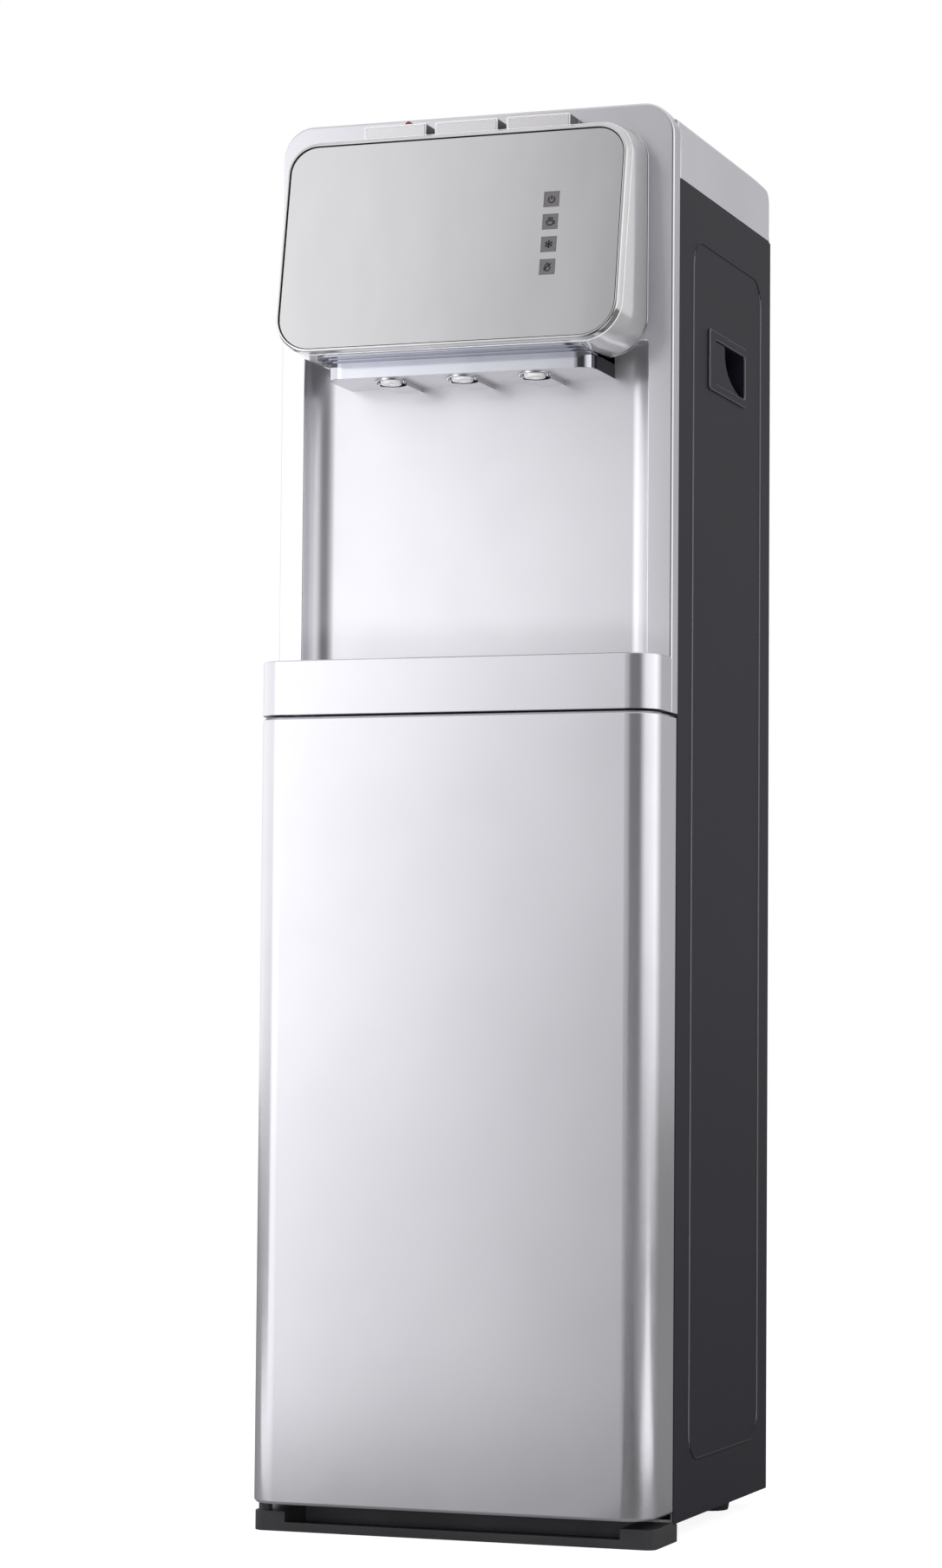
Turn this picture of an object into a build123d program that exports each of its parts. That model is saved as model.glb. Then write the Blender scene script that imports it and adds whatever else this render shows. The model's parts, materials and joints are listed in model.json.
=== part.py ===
"""Bottom load water cooler: a floor-standing dispenser whose bottle stands behind the front door.

Millimetres. +Z is up, the front faces -Y and +X is the user's right. The origin lies on the floor
under the middle of the whole machine. Depths are measured from the front plane of the fascia.
"""

from build123d import *
from math import atan2, cos, degrees, hypot, pi, sin, sqrt
import os

os.makedirs("parts", exist_ok=True)

# ------------------------------------------------------------------ driving dimensions: cabinet
cabinet_width = 310.0
panel_depth = 256.0
fascia_depth = 15.3
floor_gap = 13.0
sheet = 1.0
moulding = 2.5
seat_gap = 0.2
moving_gap = 0.5

# How far a cut runs past the face that it opens
over = 1.0

# Sides of the round pieces that stay plain: inside the cabinet, and small ones that repeat
hidden_sides = 8
small_sides = 16
drum_sides = 24

# Heights, from the floor up
door_bottom = 21.0
door_height = 579.5
door_gap = 1.5
band_height = 40.5
recess_height = 234.5
crown_height = 177.0
fascia_stand_up = 9.5
cover_height = 44.5

# Side panels
flange = 10.0
emboss_depth = 1.2
field_front_margin = 38.0
field_rear_margin = 32.0
field_bottom_margin = 44.0
field_top_margin = 40.0
field_corner = 22.0

# Handle cups in the side panels
handle_length = 103.0
handle_height = 46.4
handle_from_front = 76.7
handle_below_top = 99.0
handle_hole_length = 87.0
handle_hole_height = 33.0
handle_hole_shift = 5.5
handle_depth = 29.0
handle_lip = 3.0
handle_wall = 2.0
ramp_foot_share = 0.68
ramp_head_share = 0.32

# Fascia and dispensing recess
fascia_corner = 24.0
fascia_edge = 2.0
rim_width = 19.5
recess_depth = 20.0
recess_corner = 17.5
liner_wall = 2.2
liner_flange = 7.0

# Tray band, drip tray and grille
band_reach = 46.0
band_edge = 0.8
front_corner = 22.0
well_wall = 2.2
well_front_margin = 6.5
well_side_margin = 24.0
tray_wall = 2.0
tray_ledge = 2.0
grille_thickness = 3.0
grille_slot_width = 5.0
grille_slot_pitch = 11.5
grille_rim = 5.0

# Door
door_rear_gap = 2.3
door_edge = 4.0
liner_plate = 2.0
liner_standoff = 2.0
rib_count = 4
rib_thickness = 2.0
bottle_radius = 135.0
bottle_clearance = 5.0
bottle_front_reach = 33.0
hinge_inset = 7.5
hinge_depth = 24.0
hinge_pin_radius = 3.0
hinge_running_gap = 0.05
bush_height = 14.0
bush_relief = 1.0
pin_recess = 2.0
magnet_length = 40.0
magnet_width = 9.0

# Front skirt and feet
skirt_reach = 32.0
skirt_bar_height = 6.7
skirt_bar_depth = 8.0
skirt_block_height = 14.6
skirt_block_width = 26.0
skirt_corner = 8.0
skirt_floor = 2.5
foot_radius = 16.0
foot_flare = 2.0
foot_from_side = 33.0
foot_from_back = 45.0

# Control head
head_side_margin = 22.4
head_back_height = 171.9
head_back_above_recess = 159.7
head_face_height = 161.6
head_face_above_recess = 153.3
head_depth_top = 42.6
head_depth_bottom = 72.0
head_corner = 22.5
bezel_depth = 8.0
bezel_lip = 1.4
panel_thickness = 3.0
lens_size = 11.8
lens_pitch = 17.5
lens_from_side = 55.3
lens_count = 4
lens_play = 0.05
board_width = 46.0
board_height = 92.0
board_thickness = 1.6
board_standoff = 5.0
boss_width = 5.0

# Buttons
button_width = 49.5
button_depth = 22.0
button_pitch = 56.5
button_top_below_fascia = 8.5
button_height = 21.5
button_play = 0.4
button_wall = 2.0
button_edge = 0.8
button_travel = 4.5
stem_radius = 2.5
stem_depth = 13.0
stem_play = 0.4
spring_radius = 4.4
spring_wire = 1.2
shelf_thickness = 2.0
shelf_gap = 3.0
lock_width = 6.0
lock_length = 8.0
lock_height = 3.0
lock_travel = 3.0
lock_offset = 9.5
lock_setback = 1.0
lock_wing = 1.5
lock_wing_gap = 0.3

# Tap assembly
tap_side_margin = 29.8
tap_reach = 32.3
tap_drop = 25.4
tap_corner = 6.0
tap_depth = 18.0
tap_step = 0.8
tap_step_shares = (0.52, 0.68)
nozzle_radius = 8.5
nozzle_bore = 4.5
nozzle_chamfer = 1.5
nozzle_drop = 4.6
collar_radius = 11.5
collar_height = 1.6
tap_block_width = 21.0
tap_block_height = 5.0
valve_width = 22.0
valve_height = 21.0
bonnet_radius = 8.0
bonnet_height = 12.0
bonnet_depth = 16.0
stem_in_bonnet = 7.0
spigot_radius = 4.5
spigot_rise = 14.4

# Machine space
deck_thickness = 1.5
tank_shelf_rise = 187.0
tank_shelf_from_front = 80.0
tank_gap = 5.0
cold_height = 175.0
cold_side_gap = 9.0
cold_from_front = 160.0
foam = 15.0
hot_share = 1 / 6
hot_side_gap = 4.0
hot_height = 150.0
hot_foot = 20.0
hot_foot_inset = 10.0
hot_from_front = 150.0
compressor_radius = 72.0
compressor_height = 150.0
compressor_from_front = 150.0
compressor_dome = 36.0
compressor_plate = 3.0
grommet_height = 12.0
grommet_radius = 9.0
grommet_neck = 5.0
terminal_width = 48.0
terminal_height = 50.0
terminal_reach = 20.0
terminal_rise = 30.0
discharge_rise = 67.5
grommet_pitch_across = 170.0
grommet_pitch_deep = 90.0
pump_from_side = 37.0
pump_from_front = 60.0
pump_width = 46.0
pump_length = 50.0
pump_height = 60.0
pump_foot = 8.0
pump_foot_height = 4.0
pump_spout = 12.0
hose_radius = 4.5
line_radius = 3.0
thin_line_radius = 2.4
line_bend = 9.0
line_from_front = 255.0

# Condenser on the back
condenser_passes = 9
condenser_pitch = 33.0
condenser_from_side = 37.0
condenser_tube_radius = 2.4
condenser_wire_radius = 0.8
condenser_wire_pitch = 14.0
condenser_standoff = 18.0
condenser_tail = 10.0
condenser_above_deck = 94.5
wire_overhang = 8.0
weld_gap = 0.03
condenser_inlet = 6.0
clip_width = 6.0
clip_height = 12.0
clip_lip = 2.0
clip_foot_width = 20.0
clip_foot_height = 24.0

# Bottle probe
probe_radius = 7.0
probe_length = 470.0
probe_from_side = 27.0
probe_cap_radius = 17.0
probe_cap_height = 34.0
probe_wall_gap = 2.0
probe_foot_gap = 4.0
probe_cup_depth = 18.0
probe_hose_radius = 5.0
probe_cap_taper = 8.0
probe_slot = 3.0
probe_slot_height = 12.0
holder_wall = 2.0
holder_height = 12.0
holder_rise = 258.5
holder_mouth = 8.0

# Rear fittings
switch_plate_width = 64.0
switch_plate_height = 70.0
switch_plate_thickness = 3.0
switch_from_side = 47.0
switch_above_deck = 10.0
rocker_width = 13.0
rocker_height = 19.0
rocker_depth = 9.0
rocker_pitch = 28.0
rocker_taper = 2.0
rocker_face_share = 0.45
rocker_face_radius = 26.6
rocker_tilt = 10.0
trunnion_radius = 1.5
rocker_gap = 1.0
switch_box_depth = 16.0
gland_radius = 10.0
gland_reach = 8.0
gland_throat = 7.5
gland_nut_sides = 6
drain_from_side = 43.0
drain_radius = 8.0
drain_reach = 12.0
drain_tube_radius = 6.0
drain_bore = 4.0
drain_flange = 4.0
drain_flange_thickness = 2.0
louvre_count = 6
louvre_pitch = 11.0
louvre_side_gap = 15.0
louvre_rise = 4.0
louvre_hood_share = 0.6
louvre_mouth_share = 0.45

# ------------------------------------------------------------------ derived places
half_width = cabinet_width / 2
condenser_reach = condenser_standoff + 2 * condenser_wire_radius + 2 * condenser_tube_radius + clip_lip
overall_depth = head_depth_bottom + fascia_depth + panel_depth + sheet + condenser_reach
fascia_front = head_depth_bottom - overall_depth / 2
fascia_back = fascia_front + fascia_depth
cabinet_back = fascia_back + panel_depth
rear_face = cabinet_back + sheet

door_top = door_bottom + door_height
band_bottom = door_top + door_gap
band_top = band_bottom + band_height
recess_top = band_top + recess_height
fascia_top = recess_top + crown_height
cover_top = fascia_top - fascia_stand_up
side_top = cover_top - cover_height
panel_height = side_top - floor_gap
panel_mid_y = (fascia_back + cabinet_back) / 2
panel_mid_z = (side_top + floor_gap) / 2
plate = sheet + emboss_depth
inner_half = half_width - plate - seat_gap
recess_half = half_width - rim_width
head_width = cabinet_width - 2 * head_side_margin
tap_width = head_width - 2 * tap_side_margin
lens_x = head_width / 2 - lens_from_side
foot_spread = half_width - foot_from_side
pump_x = half_width - pump_from_side
probe_x = half_width - probe_from_side
condenser_half_span = half_width - condenser_from_side
switch_x = -(half_width - switch_from_side)
drain_x = half_width - drain_from_side

# The two tanks share the width between the handle cups
tank_space = 2 * (half_width - handle_depth)
hot_radius = tank_space * hot_share
foam_radius = (tank_space - 2 * hot_radius - hot_side_gap - tank_gap - cold_side_gap) / 2
cold_radius = foam_radius - foam
hot_x = -(tank_space / 2 - hot_side_gap - hot_radius)
cold_x = tank_space / 2 - cold_side_gap - foam_radius
band_floor = band_bottom + moulding


def facing_front(y):
    """Sketch plane seen from the front: local x is X, local y is Z, and it extrudes towards -Y."""
    return Plane.XZ.offset(-y)


def facing_right(x):
    """Sketch plane seen from the right: local x is Y, local y is Z, and it extrudes towards +X."""
    return Plane.YZ.offset(x)


def block(x, y, z, mode=Mode.ADD):
    """A rectangular block between its low and high places along each axis."""
    with Locations(((x[0] + x[1]) / 2, (y[0] + y[1]) / 2, (z[0] + z[1]) / 2)):
        Box(x[1] - x[0], y[1] - y[0], z[1] - z[0], mode=mode)


def post(x, y, bottom, top, radius, mode=Mode.ADD):
    """An upright cylinder."""
    with Locations((x, y, bottom)):
        Cylinder(radius, top - bottom, align=(Align.CENTER, Align.CENTER, Align.MIN), mode=mode)


def drum(x, y, bottom, top, radius, mode=Mode.ADD):
    """A tank in many flats, four of which face front, back, left and right."""
    with BuildSketch(Plane.XY.offset(bottom)) as section:
        with Locations((x, y)):
            RegularPolygon(radius, drum_sides, major_radius=False, rotation=180 / drum_sides)
    extrude(section.sketch, amount=top - bottom, mode=mode)


def drum_reach(radius, aside):
    """How far a drum's flats lie from its axis, at a distance to one side of it."""
    turns = [2 * pi * flat / drum_sides for flat in range(drum_sides // 4)]
    return min((radius - aside * sin(turn)) / cos(turn) for turn in turns)


def peg(x, y, bottom, top, radius, mode=Mode.ADD, sides=hidden_sides):
    """An upright many-sided prism whose flats lie at the radius."""
    with BuildSketch(Plane.XY.offset(bottom)) as section:
        with Locations((x, y)):
            RegularPolygon(radius, sides, major_radius=False)
    extrude(section.sketch, amount=top - bottom, mode=mode)


def rod_back(x, z, front, back, radius, mode=Mode.ADD, sides=hidden_sides):
    """A many-sided rod that runs from front to back, whose flats lie at the radius."""
    with BuildSketch(facing_front(back)) as section:
        with Locations((x, z)):
            RegularPolygon(radius, sides, major_radius=False)
    extrude(section.sketch, amount=back - front, mode=mode)


def pipe(points, radius):
    """A six-sided tube along straight runs with mitred corners."""
    with BuildLine() as route:
        Polyline(*points)
    with BuildSketch(Plane(origin=route.line @ 0, z_dir=route.line % 0)) as section:
        RegularPolygon(radius, 6)
    sweep(section.sketch, path=route.line, transition=Transition.RIGHT)


def bow(half, front, back, corner):
    """Plan outline with two rounded front corners, drawn in the current sketch."""
    with BuildSketch(mode=Mode.PRIVATE) as outline:
        with Locations((0, (front + back) / 2)):
            Rectangle(2 * half, back - front)
        fillet(outline.vertices().group_by(Axis.Y)[0], corner)
    add(outline.sketch)


def save(builder, name):
    """Label a finished piece and write it to its own file."""
    builder.part.label = name
    export_step(builder.part, f"parts/{name}.step")


# ------------------------------------------------------------------ side panels
field_length = panel_depth - field_front_margin - field_rear_margin
field_height = panel_height - field_bottom_margin - field_top_margin
field_y = panel_mid_y + (field_front_margin - field_rear_margin) / 2
field_z = panel_mid_z + (field_bottom_margin - field_top_margin) / 2
handle_y = fascia_back + handle_from_front + handle_length / 2
handle_z = side_top - handle_below_top - handle_height / 2

with BuildPart() as right_side_panel:
    with BuildSketch(facing_right(half_width - plate)):
        with Locations((panel_mid_y, panel_mid_z)):
            Rectangle(panel_depth, panel_height)
    extrude(amount=plate)
    with BuildSketch(facing_right(half_width)):
        with Locations((field_y, field_z)):
            RectangleRounded(field_length, field_height, field_corner)
    extrude(amount=-emboss_depth, mode=Mode.SUBTRACT)
    with BuildSketch(facing_right(half_width - plate)):
        with Locations((panel_mid_y, panel_mid_z)):
            Rectangle(panel_depth, panel_height)
        with Locations((field_y, field_z)):
            Rectangle(field_length + 2 * plate, field_height + 2 * plate, mode=Mode.SUBTRACT)
    extrude(amount=emboss_depth, mode=Mode.SUBTRACT)
    for edge in (fascia_back, cabinet_back - sheet):
        block((half_width - flange, half_width - sheet), (edge, edge + sheet), (floor_gap, side_top))
    with BuildSketch(facing_right(half_width)):
        with Locations((handle_y, handle_z)):
            Rectangle(handle_length - 2 * handle_lip, handle_height - 2 * handle_lip)
    extrude(amount=-2 * plate, mode=Mode.SUBTRACT)
save(right_side_panel, "right_side_panel")

with BuildPart() as left_side_panel:
    mirror(right_side_panel.part, about=Plane.YZ)
save(left_side_panel, "left_side_panel")

# ------------------------------------------------------------------ handle cups
cup_length = handle_length - 2 * handle_lip - 2 * seat_gap
cup_height = handle_height - 2 * handle_lip - 2 * seat_gap
cup_floor = half_width - handle_depth

with BuildPart() as right_handle_cup:
    with BuildSketch(facing_right(half_width - emboss_depth)):
        with Locations((handle_y, handle_z)):
            Rectangle(handle_length, handle_height)
    extrude(amount=emboss_depth)
    chamfer(right_handle_cup.edges().filter_by(Axis.X), handle_lip / 2)
    with BuildSketch(facing_right(half_width - emboss_depth)):
        with Locations((handle_y, handle_z)):
            Rectangle(cup_length, cup_height)
    extrude(amount=-(handle_depth - emboss_depth))
    with BuildSketch(facing_right(half_width)):
        with Locations((handle_y + handle_hole_shift, handle_z)):
            Rectangle(handle_hole_length - handle_lip, handle_hole_height)
    extrude(amount=-(handle_depth - handle_wall), mode=Mode.SUBTRACT)
    # A curved finger ramp fills the lower front corner of the pocket
    pocket_low = handle_z - handle_hole_height / 2
    pocket_high = handle_z + handle_hole_height / 2
    pocket_front = handle_y + handle_hole_shift - (handle_hole_length - handle_lip) / 2
    with BuildSketch(facing_right(cup_floor + handle_wall)):
        with BuildLine():
            ramp_foot = (pocket_front + handle_hole_length * ramp_foot_share, pocket_low)
            ramp_head = (pocket_front + handle_hole_length * ramp_head_share, pocket_high)
            Polyline(ramp_foot, (pocket_front, pocket_low), (pocket_front, pocket_high), ramp_head)
            RadiusArc(ramp_head, ramp_foot, -handle_hole_length / 2)
        make_face()
    extrude(amount=handle_depth / 2)
save(right_handle_cup, "right_handle_cup")

with BuildPart() as left_handle_cup:
    mirror(right_handle_cup.part, about=Plane.YZ)
save(left_handle_cup, "left_handle_cup")

# ------------------------------------------------------------------ top cover
cover_corner = 26.0
cover_edge = 4.0
cover_lip = 8.0

with BuildPart() as top_cover:
    with BuildSketch(facing_right(0)) as cover_profile:
        with Locations((panel_mid_y, (cover_top + side_top) / 2)):
            Rectangle(panel_depth, cover_height)
        rear_top = cover_profile.vertices().group_by(Axis.X)[-1].sort_by(Axis.Y)[-1]
        fillet(rear_top, cover_corner)
    extrude(amount=half_width, both=True)
    long_edges = top_cover.faces().filter_by(Axis.X).edges().filter_by(GeomType.LINE)
    chamfer(long_edges.group_by(Axis.Z)[-1], cover_edge / 2)
    with BuildSketch(facing_right(0)) as hollow_profile:
        with Locations((panel_mid_y - moulding, (cover_top + side_top) / 2 - moulding)):
            Rectangle(panel_depth, cover_height)
        rear_top = hollow_profile.vertices().group_by(Axis.X)[-1].sort_by(Axis.Y)[-1]
        fillet(rear_top, cover_corner - moulding)
    extrude(amount=half_width - moulding, both=True, mode=Mode.SUBTRACT)
    for side in (-1, 1):
        lip_outer = side * (half_width - sheet - seat_gap)
        lip_inner = side * (half_width - sheet - seat_gap - moulding)
        block(
            (min(lip_outer, lip_inner), max(lip_outer, lip_inner)),
            (fascia_back + 2 * flange, cabinet_back - 2 * flange),
            (side_top - cover_lip, side_top + cover_lip),
        )
save(top_cover, "top_cover")

# ------------------------------------------------------------------ front fascia
with BuildPart() as front_fascia:
    with BuildSketch(facing_front(fascia_back)) as surround:
        with Locations((0, (fascia_top + band_bottom) / 2)):
            Rectangle(cabinet_width, fascia_top - band_bottom)
        fillet(surround.vertices().group_by(Axis.Y)[-1], fascia_corner)
    extrude(amount=fascia_depth)
    chamfer(front_fascia.faces().sort_by(Axis.Y)[0].edges().filter_by(
        lambda edge: edge.center().Z > band_bottom + fascia_edge), fascia_edge)
    with BuildSketch(facing_front(fascia_back)) as hollow:
        with Locations((0, (fascia_top + band_bottom) / 2)):
            Rectangle(cabinet_width - 2 * moulding, fascia_top - band_bottom - 2 * moulding)
        fillet(hollow.vertices().group_by(Axis.Y)[-1], fascia_corner - moulding)
    extrude(amount=fascia_depth - moulding, mode=Mode.SUBTRACT)
    with BuildSketch(facing_front(fascia_front)):
        with Locations((0, (recess_top + band_floor) / 2)):
            Rectangle(2 * recess_half, recess_top - band_floor)
    extrude(amount=-2 * moulding, mode=Mode.SUBTRACT)
save(front_fascia, "front_fascia")

# ------------------------------------------------------------------ recess liner
liner_front = fascia_front + moulding
recess_back = fascia_front + recess_depth
tap_axis_y = fascia_front - tap_depth
stem_axis_y = fascia_front - stem_depth
tap_bottom = recess_top - tap_drop
spigot_z = tap_bottom + spigot_rise
tap_xs = [-button_pitch, 0, button_pitch]

with BuildPart() as recess_liner:
    with BuildSketch(facing_front(liner_front + liner_wall)):
        with Locations((0, (recess_top + band_floor) / 2)):
            Rectangle(
                2 * (recess_half + liner_flange),
                recess_top - band_floor + 2 * liner_flange,
            )
    extrude(amount=liner_wall)
    with BuildSketch(Plane.XY.offset(band_floor)) as cove_outside:
        with Locations((0, (liner_front + recess_back + liner_wall) / 2)):
            Rectangle(2 * (recess_half + liner_wall), recess_back + liner_wall - liner_front)
        fillet(cove_outside.vertices().group_by(Axis.Y)[-1], recess_corner + liner_wall)
    extrude(amount=recess_top - band_floor + liner_wall)
    with BuildSketch(Plane.XY.offset(band_floor)) as cove:
        with Locations((0, (liner_front + recess_back) / 2)):
            Rectangle(2 * recess_half, recess_back - liner_front)
        fillet(cove.vertices().group_by(Axis.Y)[-1], recess_corner)
    extrude(amount=recess_top - band_floor, mode=Mode.SUBTRACT)
    # The flange stops at the floor of the tray band
    block(
        (-half_width, half_width),
        (liner_front - liner_wall, liner_front + recess_depth),
        (band_floor - 2 * liner_flange, band_floor),
        mode=Mode.SUBTRACT,
    )
    for x in tap_xs:
        rod_back(x, spigot_z, recess_back - liner_wall, recess_back + 2 * liner_wall,
                 spigot_radius + moving_gap, mode=Mode.SUBTRACT)
save(recess_liner, "recess_liner")

# ------------------------------------------------------------------ tray band with its well
band_front = fascia_front - band_reach
well_half = half_width - well_side_margin
well_front = band_front + well_front_margin
hinge_x = -(half_width - hinge_inset)
hinge_y = fascia_front - hinge_depth
hinge_boss_radius = 2 * hinge_pin_radius
hinge_pin_hold = 14.0

with BuildPart() as tray_band:
    with BuildSketch(Plane.XY.offset(band_bottom)):
        bow(half_width, band_front, fascia_front, front_corner)
    extrude(amount=band_height)
    chamfer(tray_band.faces().sort_by(Axis.Z)[-1].edges().filter_by(
        lambda edge: edge.center().Y < fascia_front - over), band_edge)
    # The skin is open from below, round the well
    with BuildSketch(Plane.XY.offset(band_bottom)):
        bow(half_width - moulding, band_front + moulding, fascia_front - moulding, front_corner - moulding)
        with Locations((0, (well_front - well_wall + fascia_front) / 2)):
            Rectangle(
                2 * (well_half + well_wall),
                fascia_front - well_front + well_wall,
                mode=Mode.SUBTRACT,
            )
    extrude(amount=band_height - moulding, mode=Mode.SUBTRACT)
    block((-well_half, well_half), (well_front, fascia_front), (band_floor, band_top + over), mode=Mode.SUBTRACT)
    peg(hinge_x, hinge_y, band_bottom, band_top - moulding, hinge_boss_radius)
    post(hinge_x, hinge_y, band_bottom, band_bottom + hinge_pin_hold, hinge_pin_radius, mode=Mode.SUBTRACT)
save(tray_band, "tray_band")

# ------------------------------------------------------------------ drip tray and grille
tray_gap = 1.0
tray_floor_gap = 0.3
tray_half = well_half - tray_gap
tray_front = well_front + tray_gap
tray_back = recess_back - moulding
tray_bottom = band_floor + tray_floor_gap
tray_top = band_top - tray_gap
tray_rear_corner = recess_corner - tray_wall
tray_front_corner = 4.0


def tray_outline(inset):
    """Plan outline of the drip tray, drawn in the current sketch, drawn in by inset."""
    with BuildSketch(mode=Mode.PRIVATE) as outline:
        with Locations((0, (tray_front + tray_back) / 2)):
            Rectangle(2 * (tray_half - inset), tray_back - tray_front - 2 * inset)
        fillet(outline.vertices().group_by(Axis.Y)[-1], tray_rear_corner - inset)
        chamfer(outline.vertices().group_by(Axis.Y)[0], tray_front_corner)
    add(outline.sketch)


grille_bottom = tray_top - grille_thickness
grille_inset = tray_wall + moving_gap
slot_length = tray_back - tray_front - 2 * grille_inset - 2 * grille_rim
slot_count = int((2 * (tray_half - grille_inset - tray_rear_corner)) // grille_slot_pitch) + 1

with BuildPart() as drip_tray:
    with BuildSketch(Plane.XY.offset(tray_bottom)):
        tray_outline(0)
    extrude(amount=tray_top - tray_bottom)
    with BuildSketch(Plane.XY.offset(tray_bottom + tray_wall)):
        tray_outline(tray_wall + tray_ledge)
    extrude(amount=tray_top - tray_bottom, mode=Mode.SUBTRACT)
    with BuildSketch(Plane.XY.offset(grille_bottom - tray_floor_gap)):
        tray_outline(tray_wall)
    extrude(amount=2 * grille_thickness, mode=Mode.SUBTRACT)
save(drip_tray, "drip_tray")

with BuildPart() as drip_grille:
    with BuildSketch(Plane.XY.offset(grille_bottom)):
        tray_outline(grille_inset)
        with Locations((0, (tray_front + tray_back) / 2)):
            with GridLocations(grille_slot_pitch, 0, slot_count, 1):
                Rectangle(grille_slot_width, slot_length, mode=Mode.SUBTRACT)
    extrude(amount=grille_thickness)
save(drip_grille, "drip_grille")

# ------------------------------------------------------------------ door
door_front = band_front
door_back = fascia_back - door_rear_gap
bush_hole_radius = hinge_pin_radius + hinge_running_gap
bush_radius = hinge_inset - moulding

with BuildPart() as door_shell:
    with BuildSketch(Plane.XY.offset(door_bottom)):
        bow(half_width, door_front, door_back, front_corner)
    extrude(amount=door_height)
    rim_edges = door_shell.faces().filter_by(Axis.Z).edges().filter_by(
        lambda edge: edge.center().Y < door_back - over)
    chamfer(rim_edges, door_edge / 2)
    with BuildSketch(Plane.XY.offset(door_bottom + moulding)):
        bow(half_width - moulding, door_front + moulding, door_back + over, front_corner - moulding)
    extrude(amount=door_height - 2 * moulding, mode=Mode.SUBTRACT)
    for level in (door_bottom - over, door_top - moulding - over):
        post(hinge_x, hinge_y, level, level + moulding + 2 * over, hinge_pin_radius + 2 * moving_gap, mode=Mode.SUBTRACT)
save(door_shell, "door_shell")

# The inner panel carries level ribs, hollowed round the bottle
door_liner_half = half_width - front_corner - seat_gap
plate_front = door_front + moulding + liner_standoff
rib_back = door_back - 4 * liner_plate
bottle_y = fascia_front - bottle_front_reach + bottle_radius
door_liner_margin = 3.0
door_liner_height = door_height - 2 * moulding - 2 * door_liner_margin
rib_spacing = door_liner_height / (rib_count + 1)

with BuildPart() as door_liner:
    liner_low = door_bottom + moulding + door_liner_margin
    block(
        (-door_liner_half, door_liner_half),
        (plate_front, plate_front + liner_plate),
        (liner_low, liner_low + door_liner_height),
    )
    for rib in range(rib_count):
        rib_z = liner_low + (rib + 1) * rib_spacing
        with BuildSketch(Plane.XY.offset(rib_z)):
            with Locations((0, (plate_front + rib_back) / 2)):
                Rectangle(2 * door_liner_half, rib_back - plate_front)
            with Locations((0, bottle_y)):
                RegularPolygon(
                    bottle_radius + bottle_clearance,
                    hidden_sides,
                    major_radius=False,
                    rotation=180 / hidden_sides,
                    mode=Mode.SUBTRACT,
                )
        extrude(amount=rib_thickness)
    for side in (-1, 1):
        edge_x = side * (door_liner_half - liner_plate / 2)
        block(
            (edge_x - liner_plate / 2, edge_x + liner_plate / 2),
            (plate_front - liner_standoff, rib_back),
            (liner_low, liner_low + door_liner_height),
        )
save(door_liner, "door_liner")

with BuildPart() as door_hinge_bushes:
    for low in (door_bottom + moulding, door_top - moulding - bush_height):
        block(
            (hinge_x - bush_radius + bush_relief, -door_liner_half),
            (hinge_y - bush_radius, hinge_y + bush_radius),
            (low, low + bush_height),
        )
        post(hinge_x, hinge_y, low, low + bush_height, bush_hole_radius, mode=Mode.SUBTRACT)
save(door_hinge_bushes, "door_hinge_bushes")

with BuildPart() as door_magnet:
    magnet_top = door_top - moulding - door_liner_margin
    block(
        (half_width - moulding - magnet_width, half_width - moulding),
        (door_back - magnet_width, door_back),
        (magnet_top - magnet_length, magnet_top),
    )
save(door_magnet, "door_magnet")

# ------------------------------------------------------------------ front skirt, hinge pins and feet
skirt_front = fascia_front - skirt_reach
lower_pin_foot = skirt_floor
thrust_gap = 0.3

with BuildPart() as front_skirt:
    with BuildSketch(Plane.XY):
        bow(half_width, skirt_front, fascia_back, skirt_corner)
    extrude(amount=skirt_block_height)
    block(
        (-(half_width - skirt_block_width), half_width - skirt_block_width),
        (skirt_front - over, skirt_front + skirt_bar_depth),
        (skirt_bar_height, skirt_block_height + over),
        mode=Mode.SUBTRACT,
    )
    block(
        (-(half_width - skirt_block_width), half_width - skirt_block_width),
        (skirt_front + skirt_bar_depth, fascia_back - 2 * moulding),
        (skirt_floor, skirt_block_height + over),
        mode=Mode.SUBTRACT,
    )
    # The rear wall passes under the base pan
    with BuildSketch(Plane.XY):
        with Locations((0, fascia_back + 2 * moulding)):
            Rectangle(cabinet_width, 4 * moulding)
    extrude(amount=floor_gap)
    peg(hinge_x, hinge_y, skirt_floor, door_bottom - thrust_gap, hinge_boss_radius - sheet)
    post(hinge_x, hinge_y, lower_pin_foot, door_bottom, hinge_pin_radius, mode=Mode.SUBTRACT)
save(front_skirt, "front_skirt")

with BuildPart() as door_hinge_pins:
    post(hinge_x, hinge_y, lower_pin_foot, door_bottom + moulding + bush_height - pin_recess, hinge_pin_radius)
    post(hinge_x, hinge_y, door_top - moulding - bush_height + pin_recess, band_bottom + hinge_pin_hold,
         hinge_pin_radius)
save(door_hinge_pins, "door_hinge_pins")

with BuildPart() as rear_feet:
    with BuildSketch(Plane.XY):
        with Locations((-foot_spread, cabinet_back - foot_from_back), (foot_spread, cabinet_back - foot_from_back)):
            RegularPolygon(foot_radius - foot_flare, small_sides, major_radius=False)
    extrude(amount=floor_gap, taper=-degrees(atan2(foot_flare, floor_gap)))
save(rear_feet, "rear_feet")

# ------------------------------------------------------------------ base pan, deck and tank shelf
base_wall = 1.5
base_upstand = 25.0
base_sill = 2.0
base_half = half_width - sheet - seat_gap
base_front = fascia_back + sheet + seat_gap
base_back = cabinet_back - sheet - seat_gap
line_y = fascia_front + line_from_front
probe_y = base_back - probe_cap_radius - probe_wall_gap
deck_bottom = band_bottom + sheet * 2
deck_top = deck_bottom + deck_thickness
deck_front = recess_back + liner_wall + seat_gap

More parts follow.
